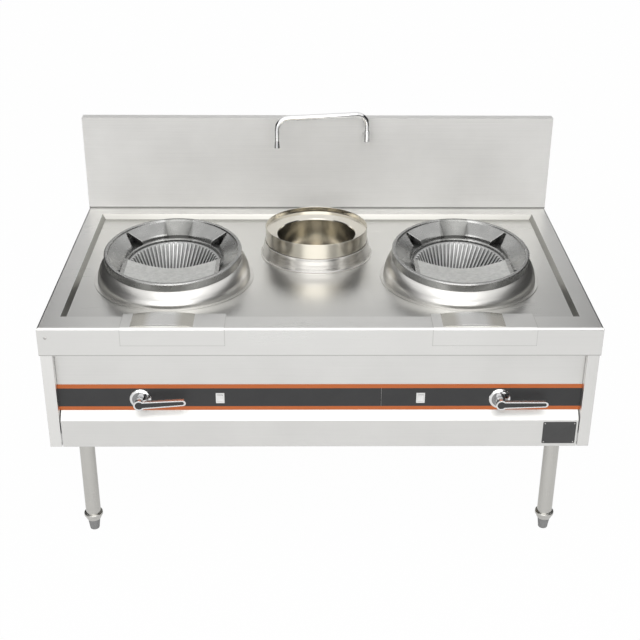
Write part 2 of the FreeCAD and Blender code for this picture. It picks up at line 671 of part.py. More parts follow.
def burners():
    """Cast burner: jet head bolted under the bowl, neck, and an upright mixing chamber."""
    for side, sign in SIDES:
        head = body(f"burner_head_{side}")
        revolve(head, f"head_turning_{side}", outline(sketch(head, f"head_section_{side}", "XZ_Plane"), [
            ("0", "-150"), ("34", "-152"), ("48", "-160"), ("54", "-172"),
            ("54", "-bowl_depth - bowl_wall - 0.1"),
            ("burner_hole + 20", "-bowl_depth - bowl_wall - 0.1"), ("burner_hole + 20", "-bowl_depth - 16"),
            ("46", "-bowl_depth - 18"), ("42", "-250"), ("0", "-250")]))
        jet_page = ring_line(sketch(head, f"jet_section_{side}", "XY_Plane", "-166"), "5", "38", "0")
        jet = pad(head, f"jet_{side}", jet_page, "24")
        jets = head.newObject("PartDesign::PolarPattern", f"jets_{side}")
        jets.Originals = [jet]
        jets.Axis = (jet_page, ["N_Axis"])
        jets.Angle = 360
        jets.Occurrences = 12
        head.Tip = jets
        tilted(head, sign)
        spot = (f"{sign} * wok_x + middle_x", f"{FRONT} + wok_y + 24")
        chamber = rod(f"chamber_{side}", "55", "118", (*spot, "header_z + 54"))
        hollow = rod(f"chamber_room_{side}", "49", "100", (*spot, "header_z + 60"))
        x, y = spot
        gas_port = rod(f"gas_port_{side}", "8", "20", (x, f"{y} - 60", "lever_z"), ALONG_Y)
        air_port = rod(f"air_port_{side}", "duct_radius - sheet", "30", (x, f"{y} + 35", "duct_z"), ALONG_Y)
        shell = cut(f"chamber_shell_{side}", chamber, hollow, gas_port, air_port)
        keep(f"burner_{side}", fuse(f"burner_casting_{side}", head, shell))


# ---------------------------------------------------------------- warm pot
def warm_pot_station():
    """Drawn collar, hanging well and the lift-out pot."""
    at = dict(x="middle_x", y=f"{FRONT} + pot_y")
    seat = "pot_seat + pan_drop"
    turned("pot_collar", [
        ("193", "0"), ("203", "0"), ("203", "sheet"), ("198", "3"), ("195.5", "7"), ("193.5", "16"),
        ("191.5", "28"), ("190", "42"), ("188.5", "49"), ("187", "50"), ("pot_radius + 0.8", "50"),
        ("pot_radius + 0.8", seat), ("well_radius + 2", seat), ("well_radius + 2", f"{seat} - 3"),
        ("187.8", f"{seat} - 3"), ("189.2", "28"), ("191.2", "14"), ("192.8", "6")],
        z="top_height - pan_drop", **at)
    turned("pot_well", [
        ("0", "-pot_depth - 20"), ("well_radius - 4", "-pot_depth - 20"),
        ("well_radius", "-pot_depth - 16"), ("well_radius", "pot_seat - 6"),
        ("well_radius + 18", "pot_seat - 6"), ("well_radius + 18", "pot_seat - 3"),
        ("well_radius - 2", "pot_seat - 3"), ("well_radius - 2", "-pot_depth - 15"),
        ("well_radius - 5", "-pot_depth - 18"), ("0", "-pot_depth - 18")], z="top_height", **at)
    turned("warm_pot", [
        ("pot_radius - 2", "pot_seat + 0.3"), ("pot_radius", "pot_seat + 0.3"),
        ("pot_radius", "pot_rise - 1"),
        ("pot_radius - 1", "pot_rise"), ("pot_radius - 2", "pot_rise - 1"), ("pot_radius - 2", "67"),
        ("pot_mouth", "55"), ("pot_mouth - 2", "51"), ("pot_bowl", "12 - pot_depth"),
        ("pot_bowl - 3", "4 - pot_depth"), ("pot_bowl - 12", "-pot_depth"), ("0", "-pot_depth"),
        ("0", "-pot_depth - 2"), ("pot_bowl - 11", "-pot_depth - 2"), ("pot_bowl - 1.5", "2.5 - pot_depth"),
        ("pot_bowl + 2", "12 - pot_depth"), ("pot_mouth", "50"), ("pot_mouth + 2", "53"),
        ("pot_radius - 2", "64.5")], z="top_height", **at)


# ---------------------------------------------------------------- controls
def teardrop(owner, name, hub, root, tip, reach, face, thick, cutter=False):
    """Lever shape, round at the hub and at the tip, as three pads or pockets that start at depth face."""
    make = pocket if cutter else pad
    shapes = [("hub", lambda page: ring_line(page, hub)),
              ("arm", lambda page: outline(page, [("0", f"-{root}"), (reach, f"-({tip})"), (reach, tip),
                                                  ("0", root)])),
              ("end", lambda page: ring_line(page, tip, reach, "0"))]
    for piece, draw in shapes:
        page = sketch(owner, f"{name}_{piece}_outline", "XZ_Plane", face)
        draw(page)
        make(owner, f"{name}_{piece}", page, thick)


def lever_controls():
    """Lever handle with its inlay and stem, the round escutcheon and the brass gas valve behind it."""
    rest_lean = {"left": 4, "right": 1}
    for side, sign in SIDES:
        spot = dict(x=f"{sign} * lever_x", y=FRONT, z="lever_z")
        lean = Rotation(Vector(0, 1, 0), -rest_lean[side])
        handle = body(f"lever_{side}")
        teardrop(handle, f"lever_{side}", "lever_hub", "13", "lever_tip", "lever_length",
                 "lever_reach - lever_thick", "lever_thick")
        neck = sketch(handle, f"neck_outline_{side}", "XZ_Plane", "lever_reach - lever_thick")
        ring_line(neck, "lever_hub - 1")
        pad(handle, f"neck_{side}", neck, "lever_reach - lever_thick + panel_inset - trim_thick - 6.8",
            Reversed=True)
        seat = ring_line(sketch(handle, f"stem_seat_{side}", "XZ_Plane", "-10"), "5")
        pocket(handle, f"stem_bore_{side}", seat, "panel_inset")
        teardrop(handle, f"inlay_seat_{side}", "lever_hub - 5", "8.5", "lever_tip - 4", "lever_length - 2",
                 "lever_reach", "1.5", cutter=True)
        keep(f"lever_{side}", place(handle, turn=lean, **spot))
        inlay = body(f"lever_inlay_{side}")
        teardrop(inlay, f"inlay_{side}", "lever_hub - 5.2", "8.3", "lever_tip - 4.2", "lever_length - 2",
                 "lever_reach - 1.5", "1.9")
        keep(f"lever_inlay_{side}", place(inlay, turn=lean, **spot))
        keep(f"lever_stem_{side}", rod(f"stem_{side}", "5", "panel_inset + 30",
                                       (spot["x"], f"{FRONT} + 10", "lever_z"), ALONG_Y))
        turned(f"escutcheon_{side}", [
            ("8", "0"), ("8", "-6.5"), ("20", "-6.5"), ("30", "-5.2"), ("34.5", "-3"), ("36", "-1"),
            ("36", "0")],
            x=spot["x"], y=f"{FRONT} + panel_inset - trim_thick", z="lever_z", turn=ALONG_Y)
        back = f"{FRONT} + panel_inset + sheet"
        solid = fuse(f"valve_body_{side}",
                     rod(f"valve_barrel_{side}", "20", "62", (spot["x"], back, "lever_z"), ALONG_Y),
                     rod(f"valve_port_{side}", "11", "14", (spot["x"], f"{back} + 62", "lever_z"),
                         ALONG_Y),
                     rod(f"valve_riser_{side}", "12", "lever_z - header_z",
                         (spot["x"], f"{FRONT} + header_y", "header_z")))
        stem_bore = rod(f"valve_bore_{side}", "5.4", "48", (spot["x"], f"{back} - 6", "lever_z"), ALONG_Y)
        pipe_room = rod(f"valve_saddle_{side}", "header_radius + 0.05", "60",
                        (f"{spot['x']} - 30", f"{FRONT} + header_y", "header_z"), ALONG_X)
        keep(f"gas_valve_{side}", cut(f"valve_{side}", solid, stem_bore, pipe_room))


def rocker_switches():
    """White rocker switches: a bezel with its body behind the band, and the rocker on a cross pin."""
    face = f"{FRONT} + panel_inset - trim_thick"
    for side, sign in SIDES:
        x = f"{sign} * rocker_x"
        solid = fuse(f"switch_solid_{side}",
                     box(f"bezel_{side}", ("28", "3", "37"),
                         (f"{x} - 14", f"{face} - 3", "rocker_z - 18.5")),
                     box(f"switch_body_{side}", ("21", "28", "29"),
                         (f"{x} - 10.5", face, "rocker_z - 14.5")))
        room = box(f"switch_room_{side}", ("19.6", "16", "27.6"),
                   (f"{x} - 9.8", f"{face} - 4", "rocker_z - 13.8"))
        pin_hole = rod(f"switch_pin_hole_{side}", "1.3", "24", (f"{x} - 12", f"{face} + 2", "rocker_z"),
                       ALONG_X)
        keep(f"switch_{side}", cut(f"switch_case_{side}", solid, room, pin_hole))
        owner = body(f"rocker_{side}")
        page = outline(sketch(owner, f"rocker_section_{side}", "YZ_Plane"), [
            ("-6", "-12.4"), ("-4.2", "0"), ("-6", "12.4"), ("-1", "12.4"), ("4", "6"), ("4", "-6"),
            ("-1", "-12.4")])
        pad(owner, f"rocker_run_{side}", page, "19", Midplane=True)
        pin = ring_line(sketch(owner, f"rocker_pin_outline_{side}", "YZ_Plane"), "1.2")
        pad(owner, f"rocker_pin_{side}", pin, "20.8", Midplane=True)
        keep(f"rocker_{side}", place(owner, x=x, y=f"{face} + 2", z="rocker_z",
                                     turn=Rotation(Vector(1, 0, 0), num("rocker_lean"))))


# ---------------------------------------------------------------- spout
def spout():
    """Swing spout of bent tube on a swivel elbow that passes through the splashback."""
    axis = Vector(num("spout_x"), num(f"{FRONT} + depth - splash_thick - spout_off"), 0)
    rims = num("top_height")
    swing = math.radians(num("spout_swing"))
    along = Vector(-math.cos(swing), -math.sin(swing), 0) * num("spout_arm")
    arm_level = Vector(0, 0, rims + num("spout_rise"))
    foot = axis + Vector(0, 0, rims + num("spout_foot"))
    outlet = axis + along + Vector(0, 0, rims + num("outlet_low"))
    spots = [foot, axis + arm_level, axis + along + arm_level, outlet]
    tube = pipe("spout_tube", spots, 44, num("spout_radius"), num("spout_radius") - 1.5)
    nut = cut("spout_nut", rod("nut_round", "13", "13", ("0", "0", "0")),
              rod("nut_bore", "9", "20", ("0", "0", "-2")))
    nut.Placement = Placement(foot, Rotation())
    tip = add("Part::Cone", "tip_cone")
    bind(tip, Radius1="12.5", Radius2="spout_radius", Height="26")
    tip_bore = rod("tip_bore", "9.5", "30", ("0", "0", "-2"))
    flare = cut("spout_flare", tip, tip_bore)
    flare.Placement = Placement(outlet, Rotation())
    keep("spout", fuse("spout_whole", tube, nut, flare))

    x, y = "spout_x", f"{FRONT} + depth - splash_thick"
    height = "top_height + spout_foot - 12"
    keep("spout_elbow", fuse("elbow_whole",
                             rod("elbow_barrel", "13", "27.7", (x, f"{y} - spout_off", f"{height} - 16")),
                             rod("elbow_arm", "spout_radius + 1", "splash_thick + spout_off + 4",
                                 (x, f"{y} - spout_off", height), ALONG_Y),
                             rod("elbow_rose", "15", "5", (x, f"{y} - 5", height), ALONG_Y),
                             rod("elbow_nut", "17", "8", (x, f"{y} + splash_thick", height), ALONG_Y),
                             rod("water_nipple", "10.4", "rear_reach - depth - 8",
                                 (x, f"{y} + splash_thick + 8", height), ALONG_Y)))


# ---------------------------------------------------------------- gas and air
def gas_lines():
    """Header behind the front panel with its inlet at the rear, and a supply pipe to each burner."""
    def spot(x, y, z):
        return Vector(num(x), num(f"{FRONT} + {y}"), num(z))

    header = pipe("header_pipe", [spot("-lever_x - 50", "header_y", "header_z"),
                                  spot("inlet_x", "header_y", "header_z"),
                                  spot("inlet_x", "depth", "header_z")],
                  45, num("header_radius"), num("header_radius") - 2.6)
    nipple = cut("gas_nipple", rod("nipple_round", "13.2", "rear_reach - depth + 2",
                                   ("inlet_x", f"{FRONT} + depth - 2", "header_z"), ALONG_Y),
                 rod("nipple_bore", "header_radius - 2.6", "rear_reach - depth + 6",
                     ("inlet_x", f"{FRONT} + depth - 4", "header_z"), ALONG_Y))
    cap = rod("header_cap", "header_radius + 3", "16",
              ("-lever_x - 62", f"{FRONT} + header_y", "header_z"), ALONG_X)
    keep("gas_header", fuse("header_whole", header, cap, nipple))
    for side, sign in SIDES:
        valve_end = "panel_inset + sheet + 76"
        station = f"{sign} * wok_x + middle_x"
        keep(f"supply_pipe_{side}", pipe(f"supply_{side}", [
            spot(f"{sign} * lever_x", valve_end, "lever_z"), spot(f"{sign} * lever_x", "190", "lever_z"),
            spot(station, "290", "lever_z"), spot(station, "wok_y + 24 - 52", "lever_z")], 40, 8, 6.5))


def blowers():
    """Scroll housing with its motor and foot, the impeller inside, and the duct to the burner."""
    for side, sign in SIDES:
        x = f"{sign} * wok_x + middle_x"
        y, z = f"{FRONT} + blower_y", "blower_z"
        outer = fuse(f"scroll_outer_{side}",
                     rod(f"scroll_{side}", "blower_radius", "66", (f"{x} - 33", y, z), ALONG_X),
                     box(f"spigot_{side}", ("66", "110", "60"), (f"{x} - 33", f"{y} - 110", "duct_z - 30")))
        inner = fuse(f"scroll_inner_{side}",
                     rod(f"scroll_room_{side}", "blower_radius - sheet", "66 - 2 * sheet",
                         (f"{x} - 33 + sheet", y, z), ALONG_X),
                     box(f"spigot_room_{side}", ("66 - 2 * sheet", "111", "60 - 2 * sheet"),
                         (f"{x} - 33 + sheet", f"{y} - 111", "duct_z - 30 + sheet")))
        inlet = rod(f"air_inlet_{side}", "42", "3 * sheet", (f"{x} - {sign} * 33 - 1.5 * sheet", y, z),
                    ALONG_X)
        shaft_hole = rod(f"shaft_hole_{side}", "5", "3 * sheet", (f"{x} + {sign} * 33 - 1.5 * sheet", y, z),
                         ALONG_X)
        casing = cut(f"scroll_shell_{side}", outer, inner, inlet, shaft_hole)
        motor = rod(f"motor_{side}", "44", "68", (f"{x} + {sign} * 67 - 34", y, z), ALONG_X)
        stem = rod(f"motor_bore_{side}", "5", "24", (f"{x} + {sign} * 44 - 12", y, z), ALONG_X)
        foot = cut(f"blower_foot_{side}",
                   box(f"foot_block_{side}", ("60", "frame_tube", "60"),
                       (f"{x} - 30", f"{y} - frame_tube / 2", "belly + sheet + frame_tube")),
                   rod(f"foot_saddle_{side}", "blower_radius", "70", (f"{x} - 35", y, z), ALONG_X))
        can = cut(f"motor_can_{side}", motor, stem)
        keep(f"blower_{side}", group(f"blower_set_{side}", casing, can, foot))

        wheel = body(f"impeller_{side}")
        plate = outline(sketch(wheel, f"wheel_section_{side}", "XZ_Plane"), [
            ("0", "-22"), ("0", "40"), ("4.4", "40"), ("4.4", "0"), ("12", "0"), ("16", "-18"),
            ("66", "-19"), ("66", "-22")])
        revolve(wheel, f"wheel_{side}", plate)
        page = outline(sketch(wheel, f"blade_section_{side}", "XY_Plane", "-20"), [
            ("48", "-7"), ("65", "0"), ("65", "2.5"), ("47", "-4.5")])
        blade = pad(wheel, f"blade_{side}", page, "40")
        blades = wheel.newObject("PartDesign::PolarPattern", f"blades_{side}")
        blades.Originals = [blade]
        blades.Axis = (page, ["N_Axis"])
        blades.Angle = 360
        blades.Occurrences = 24
        wheel.Tip = blades
        keep(f"impeller_{side}", place(wheel, x=x, y=y, z=z, turn=Rotation(Vector(0, 1, 0), 90 * sign)))

        start = "wok_y + 24 + 45"
        length = f"blower_y - 110 - ({start})"
        skin = rod(f"duct_skin_{side}", "duct_radius", length, (x, f"{FRONT} + {start}", "duct_z"), ALONG_Y)
        room = rod(f"duct_room_{side}", "duct_radius - sheet", f"{length} + 4",
                   (x, f"{FRONT} + {start} - 2", "duct_z"), ALONG_Y)
        end = rod(f"duct_end_{side}", "55", "118", (x, f"{FRONT} + wok_y + 24", "header_z + 54"))
        keep(f"air_duct_{side}", cut(f"duct_{side}", skin, room, end))


# ---------------------------------------------------------------- build, check and write
for build in (worktop, splashback, panels, control_strip, base_frame, guard_plates, legs_and_feet,
              wok_collars, wok_rings, fire_bowls, bowl_fins, burners, warm_pot_station, lever_controls,
              rocker_switches, spout, gas_lines, blowers):
    build()
doc.recompute()

failed = [item.Name for item in doc.Objects if {"Invalid", "Error"} & set(item.State)]
failed += [node for node, thing in parts.items() if thing.Shape.isNull() or not thing.Shape.isValid()]
if failed:
    raise SystemExit("not built: " + ", ".join(failed))

os.makedirs("parts", exist_ok=True)
for node, thing in parts.items():
    thing.Shape.exportStep(f"parts/{node}.step")
print(len(parts), "sub-parts written")
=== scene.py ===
"""Looks of the wok range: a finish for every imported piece, the small fittings on them, and the studio.

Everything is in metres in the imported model's own frame: +X to the cook's right, +Y to the back, +Z up,
with the origin on the floor under the middle of the range.
"""

import math

import bpy
from mathutils import Matrix, Vector


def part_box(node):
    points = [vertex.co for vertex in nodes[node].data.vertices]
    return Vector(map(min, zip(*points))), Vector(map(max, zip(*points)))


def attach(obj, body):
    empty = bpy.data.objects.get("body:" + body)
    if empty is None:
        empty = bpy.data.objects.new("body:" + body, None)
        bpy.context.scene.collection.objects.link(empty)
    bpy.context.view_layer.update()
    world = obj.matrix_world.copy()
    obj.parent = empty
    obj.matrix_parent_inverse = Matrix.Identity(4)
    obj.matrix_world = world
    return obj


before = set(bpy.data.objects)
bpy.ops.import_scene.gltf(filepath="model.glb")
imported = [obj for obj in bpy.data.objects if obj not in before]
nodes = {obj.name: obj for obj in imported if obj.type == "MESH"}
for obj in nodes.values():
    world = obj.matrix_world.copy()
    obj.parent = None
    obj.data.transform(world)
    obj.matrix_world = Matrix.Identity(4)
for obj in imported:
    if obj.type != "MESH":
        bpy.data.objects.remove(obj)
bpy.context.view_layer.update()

# ------------------------------------------------------------------ camera
# The product picture is taken from a little left of the middle and well above the splashback,
# looking down at the worktop. Place and aim are those at which the range's own edges fall where
# the picture shows them.
camera = bpy.data.objects.new("camera", bpy.data.cameras.new("camera"))
bpy.context.scene.collection.objects.link(camera)
camera_place = Vector((-0.0535, -3.8175, 2.5068))
camera_right = Vector((0.99990752, -0.01226456, 0.00587682))
camera_up = Vector((0.00030774, 0.45241751, 0.8918062))
camera_back = camera_right.cross(camera_up)
camera_axes = Matrix((camera_right, camera_up, camera_back)).transposed().to_4x4()
camera.matrix_world = Matrix.Translation(camera_place) @ camera_axes
camera.data.sensor_width = 36
camera.data.lens = 65.61
bpy.context.scene.camera = camera


# ------------------------------------------------------------------ studio
# A white sweep of floor that the bright metal mirrors, and two soft boxes, one overhead and one in
# front. Dark cards beside the range and pale ones behind it, out of sight of the camera, give the
# polished steel its tones.
def new_material(name):
    """Node material with its Principled shader, ready to be wired."""
    material = bpy.data.materials.new(name)
    material.use_nodes = True
    tree = material.node_tree
    return material, tree, tree.nodes["Principled BSDF"]


def add_node(tree, kind, **settings):
    """One shader node; a setting is a property of the node, or the value of the input of that name."""
    node = tree.nodes.new("ShaderNode" + kind)
    for name, value in settings.items():
        if name in node.bl_rna.properties:
            setattr(node, name, value)
        else:
            node.inputs[name.replace("_", " ")].default_value = value
    return node


def calc(tree, operation, *values, kind="Math"):
    """Result of one arithmetic node; each value is a socket or a constant."""
    node = add_node(tree, kind, operation=operation)
    for socket, value in zip(node.inputs, values):
        if isinstance(value, bpy.types.NodeSocket):
            tree.links.new(value, socket)
        else:
            socket.default_value = value
    number = kind == "Math" or operation in ("LENGTH", "DOT_PRODUCT")
    return node.outputs["Value" if number else "Vector"]


def white_rays(tree, *kinds):
    """One for the rays of these kinds, nothing for the rest."""
    path = add_node(tree, "LightPath")
    total = path.outputs[kinds[0]]
    for kind in kinds[1:]:
        total = calc(tree, "MAXIMUM", total, path.outputs[kind])
    return total


def flat_card(name, width, height, place, facing):
    """Flat rectangle in the studio, turned to face along a direction."""
    mesh = bpy.data.meshes.new(name)
    half_w, half_h = width / 2, height / 2
    corners = [(-half_w, -half_h, 0), (half_w, -half_h, 0), (half_w, half_h, 0), (-half_w, half_h, 0)]
    mesh.from_pydata(corners, [], [(0, 1, 2, 3)])
    card = bpy.data.objects.new(name, mesh)
    bpy.context.scene.collection.objects.link(card)
    card.location = place
    card.rotation_euler = Vector(facing).to_track_quat("Z", "Y").to_euler()
    return card


floor = flat_card("floor", 40, 40, (0, 0, 0), (0, 0, 1))
floor_paint, tree, shader = new_material("floor_paint")
shader.inputs["Base Color"].default_value = (0.88, 0.88, 0.88, 1)
shader.inputs["Roughness"].default_value = 0.9
glow = add_node(tree, "Emission", Strength=1)
mix = add_node(tree, "MixShader")
seen = calc(tree, "MULTIPLY", white_rays(tree, "Is Camera Ray"), 0.985)
mirrored = calc(tree, "MULTIPLY", white_rays(tree, "Is Glossy Ray", "Is Transmission Ray"), 0.5)
tree.links.new(calc(tree, "MAXIMUM", seen, mirrored), mix.inputs["Fac"])
tree.links.new(shader.outputs[0], mix.inputs[1])
tree.links.new(glow.outputs[0], mix.inputs[2])
tree.links.new(mix.outputs[0], tree.nodes["Material Output"].inputs["Surface"])
floor.data.materials.append(floor_paint)

for name, tone, width, height, place, facing in (
        ("left_card", 0.03, 5.0, 2.6, (-2.3, 0.6, 1.5), (1, -0.2, 0)),
        ("right_card", 0.03, 5.0, 2.6, (2.4, 0.6, 1.5), (-1, -0.2, 0)),
        ("back_card", 0.90, 2.2, 3.4, (0.0, 3.4, 2.9), (0, -1, 0)),
        ("back_card_left", 0.92, 3.0, 3.4, (-2.6, 3.2, 2.9), (0.2, -1, 0)),
        ("back_card_right", 0.8, 3.0, 3.4, (2.6, 3.2, 2.9), (-0.2, -1, 0)),
        ("right_flag", 0.05, 2.0, 1.8, (2.0, -2.6, 0.9), (-1, 0.35, 0))):
    card_paint, tree, shader = new_material(f"{name}_paint")
    shader.inputs["Base Color"].default_value = (tone, tone, tone, 1)
    shader.inputs["Roughness"].default_value = 1
    card = flat_card(name, width, height, place, facing)
    card.data.materials.append(card_paint)
    card.visible_camera = False
    card.visible_diffuse = False
    card.visible_shadow = False

world = bpy.data.worlds.new("studio")
bpy.context.scene.world = world
world.use_nodes = True
tree = world.node_tree
backdrop = tree.nodes["Background"]
level = add_node(tree, "MapRange")
level.inputs["To Min"].default_value = 0.5
level.inputs["To Max"].default_value = 1.0
tree.links.new(white_rays(tree, "Is Camera Ray", "Is Glossy Ray", "Is Transmission Ray"), level.inputs["Value"])
tree.links.new(level.outputs[0], backdrop.inputs["Strength"])
backdrop.inputs["Color"].default_value = (1, 1, 1, 1)

for name, size_x, size_y, place, aim, watts in (
        ("overhead_box", 3.2, 2.4, (0, -1.9, 4.0), (0, -0.2, 0.8), 32),
        ("front_box", 5.4, 2.9, (-0.3, -5.2, 2.5), (0, 0, 0.7), 96)):
    lamp = bpy.data.objects.new(name, bpy.data.lights.new(name, "AREA"))
    bpy.context.scene.collection.objects.link(lamp)
    lamp.data.shape = "RECTANGLE"
    lamp.data.size = size_x
    lamp.data.size_y = size_y
    lamp.data.energy = watts
    lamp.location = place
    lamp.rotation_euler = (Vector(place) - Vector(aim)).to_track_quat("Z", "Y").to_euler()
bpy.context.scene.view_settings.view_transform = "Standard"


# ------------------------------------------------------------------ base frame
# Frame of welded square steel tube that carries the carcass, the blowers and the leg sockets. It is
# brush-painted with grey primer, and a rough weld bead runs round the foot of every socket.
SIDES = (("left", -1), ("right", 1))
ROWS = (("front", -0.482), ("back", 0.478))


def new_group(name, inputs, outputs):
    """Empty shader node group with named inputs (name, kind, default) and outputs (name, kind)."""
    group = bpy.data.node_groups.new(name, "ShaderNodeTree")
    for socket, kind, default in inputs:
        made = group.interface.new_socket(socket, in_out="INPUT", socket_type="NodeSocket" + kind)
        made.default_value = default
    for socket, kind in outputs:
        group.interface.new_socket(socket, in_out="OUTPUT", socket_type="NodeSocket" + kind)
    return group, group.nodes.new("NodeGroupInput"), group.nodes.new("NodeGroupOutput")


def scaled(tree, source, low, high, start=0.3, stop=0.7):
    """Spread a value that runs from start to stop over low to high; low and high may be sockets."""
    node = add_node(tree, "MapRange")
    tree.links.new(source, node.inputs["Value"])
    for name, value in (("From Min", start), ("From Max", stop), ("To Min", low), ("To Max", high)):
        if isinstance(value, bpy.types.NodeSocket):
            tree.links.new(value, node.inputs[name])
        else:
            node.inputs[name].default_value = value
    return node.outputs[0]


def blended(tree, share, first, second):
    """Colour between two, by a share."""
    node = add_node(tree, "Mix", data_type="RGBA")
    tree.links.new(share, node.inputs["Factor"])
    for socket, value in ((6, first), (7, second)):
        if isinstance(value, bpy.types.NodeSocket):
            tree.links.new(value, node.inputs[socket])
        else:
            node.inputs[socket].default_value = value
    return node.outputs[2]


def grain_height(tree, source, strength, distance, edge):
    """Normal of a surface that a texture raises and sinks, over already softened edges."""
    bump = add_node(tree, "Bump", Distance=distance)
    tree.links.new(source, bump.inputs["Height"])
    tree.links.new(strength, bump.inputs["Strength"])
    tree.links.new(edge, bump.inputs["Normal"])
    return bump.outputs[0]


def object_spot(tree):
    """Where on the range a point of the surface lies, in metres."""
    return add_node(tree, "TexCoord").outputs["Object"]


def axes(tree, vector):
    """The three parts of a vector."""
    split = add_node(tree, "SeparateXYZ")
    tree.links.new(vector, split.inputs[0])
    return split.outputs


coat_group, given, out = new_group(
    "sprayed_coat",
    [("Tone", "Color", (0.3, 0.3, 0.3, 1)), ("Patch", "Color", (0.26, 0.26, 0.26, 1)), ("Peel", "Float", 260),
     ("Gloss", "Float", 0.35), ("Matt", "Float", 0.5), ("Relief", "Float", 0.2), ("Edge", "Float", 0.001)],
    [("Color", "Color"), ("Roughness", "Float"), ("Normal", "Vector")])
spot = object_spot(coat_group)
peel = add_node(coat_group, "TexNoise", Detail=2.0, Roughness=0.5)
coat_group.links.new(spot, peel.inputs["Vector"])
coat_group.links.new(given.outputs["Peel"], peel.inputs["Scale"])
patch = add_node(coat_group, "TexNoise", Scale=14.0, Detail=5.0, Roughness=0.65)
coat_group.links.new(spot, patch.inputs["Vector"])
soft_edge = add_node(coat_group, "Bevel", samples=3)
coat_group.links.new(given.outputs["Edge"], soft_edge.inputs["Radius"])
coat_group.links.new(blended(coat_group, scaled(coat_group, patch.outputs["Fac"], 0, 1), given.outputs["Patch"],
                             given.outputs["Tone"]), out.inputs["Color"])
coat_group.links.new(scaled(coat_group, patch.outputs["Fac"], given.outputs["Matt"], given.outputs["Gloss"]),
                     out.inputs["Roughness"])
coat_group.links.new(grain_height(coat_group, peel.outputs["Fac"], given.outputs["Relief"], 0.0006,
                                  soft_edge.outputs[0]), out.inputs["Normal"])


def finished(name, group, values, **shader_values):
    """Material whose colour, roughness and normal come from a shared group with values of its own."""
    material, tree, shader = new_material(name)
    effect = tree.nodes.new("ShaderNodeGroup")
    effect.node_tree = group
    for key, value in values.items():
        effect.inputs[key].default_value = (*value, 1) if isinstance(value, tuple) else value
    for source, target in (("Color", "Base Color"), ("Roughness", "Roughness"), ("Normal", "Normal")):
        tree.links.new(effect.outputs[source], shader.inputs[target])
    for key, value in shader_values.items():
        shader.inputs[key.replace("_", " ")].default_value = value
    return material


def coated(name, tone, gloss, relief=0.2, peel=260, patch=0.86, edge=0.001, **shader_values):
    """Painted, moulded or plated surface."""
    values = {"Tone": tone, "Patch": tuple(part * patch for part in tone), "Peel": peel, "Gloss": gloss,
              "Matt": min(1.0, gloss * 1.35), "Relief": relief, "Edge": edge}
    return finished(name, coat_group, values, **shader_values)


def dress(material, *names):
    """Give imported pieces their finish."""
    for name in names:
        slots = nodes[name].data.materials
        slots.clear()
        slots.append(material)


def add_piece(name, mesh, material, body="carcass"):
    """Put a made mesh into the scene on a body of the range."""
    mesh.set_sharp_from_angle(angle=math.radians(35))
    piece = bpy.data.objects.new(name, mesh)
    bpy.context.scene.collection.objects.link(piece)
    piece.data.materials.append(material)
    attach(piece, body)
    return piece


def turned_mesh(name, rings, places, facing=(0, 0, 1), steps=24, shape=None):
    """One mesh of like pieces turned about an axis; rings are (radius, height) from the foot up."""
    points, faces = [], []
    turn = Vector(facing).to_track_quat("Z", "Y").to_matrix()
    for place in places:
        start = len(points)
        for radius, height in rings:
            for step in range(steps):
                angle = 2 * math.pi * step / steps
                lift = shape(radius, angle) if shape else 0
                local = Vector((radius * math.cos(angle), radius * math.sin(angle), height + lift))
                points.append(Vector(place) + turn @ local)
        for row in range(len(rings) - 1):
            for step in range(steps):
                first = start + row * steps + step
                second = start + row * steps + (step + 1) % steps
                faces.append((first, second, second + steps, first + steps))
        top = start + (len(rings) - 1) * steps
        faces.append(tuple(range(start + steps - 1, start - 1, -1)))
        faces.append(tuple(range(top, top + steps)))
    mesh = bpy.data.meshes.new(name)
    mesh.from_pydata(points, [], faces)
    mesh.shade_smooth()
    return mesh


def weld_mesh(name, circles, size):
    """Weld beads: a rippled round of metal along each circle (centre, radius)."""
    points, faces = [], []
    around, section, ripple, waver = 96, 8, 0.22, 0.00033
    for centre, radius in circles:
        start = len(points)
        for step in range(around):
            angle = 2 * math.pi * step / around
            swell = size * (1 + ripple * math.cos(step * math.pi)) + waver * math.sin(7 * angle)
            for corner in range(section):
                turn = 2 * math.pi * corner / section
                reach = radius + swell * math.cos(turn)
                points.append((centre[0] + reach * math.cos(angle), centre[1] + reach * math.sin(angle),
                               centre[2] + 0.8 * swell * math.sin(turn)))
        for step in range(around):
            for corner in range(section):
                first = start + step * section + corner
                second = start + step * section + (corner + 1) % section
                third = start + (step + 1) % around * section + (corner + 1) % section
                fourth = start + (step + 1) % around * section + corner
                faces.append((first, fourth, third, second))
    mesh = bpy.data.meshes.new(name)
    mesh.from_pydata(points, [], faces)
    mesh.shade_smooth()
    return mesh


primer = coated("frame_primer", (0.30, 0.31, 0.32), 0.5, relief=0.35, peel=190)
dress(primer, "base_frame")
LEG_X, SOCKET_FOOT, SOCKET_RADIUS = 0.788, 0.4035, 0.0305
weld_rounds = [((sign * LEG_X, y, SOCKET_FOOT), SOCKET_RADIUS) for side, sign in SIDES for row, y in ROWS]
add_piece("socket_welds", weld_mesh("socket_welds", weld_rounds, 0.003), primer)


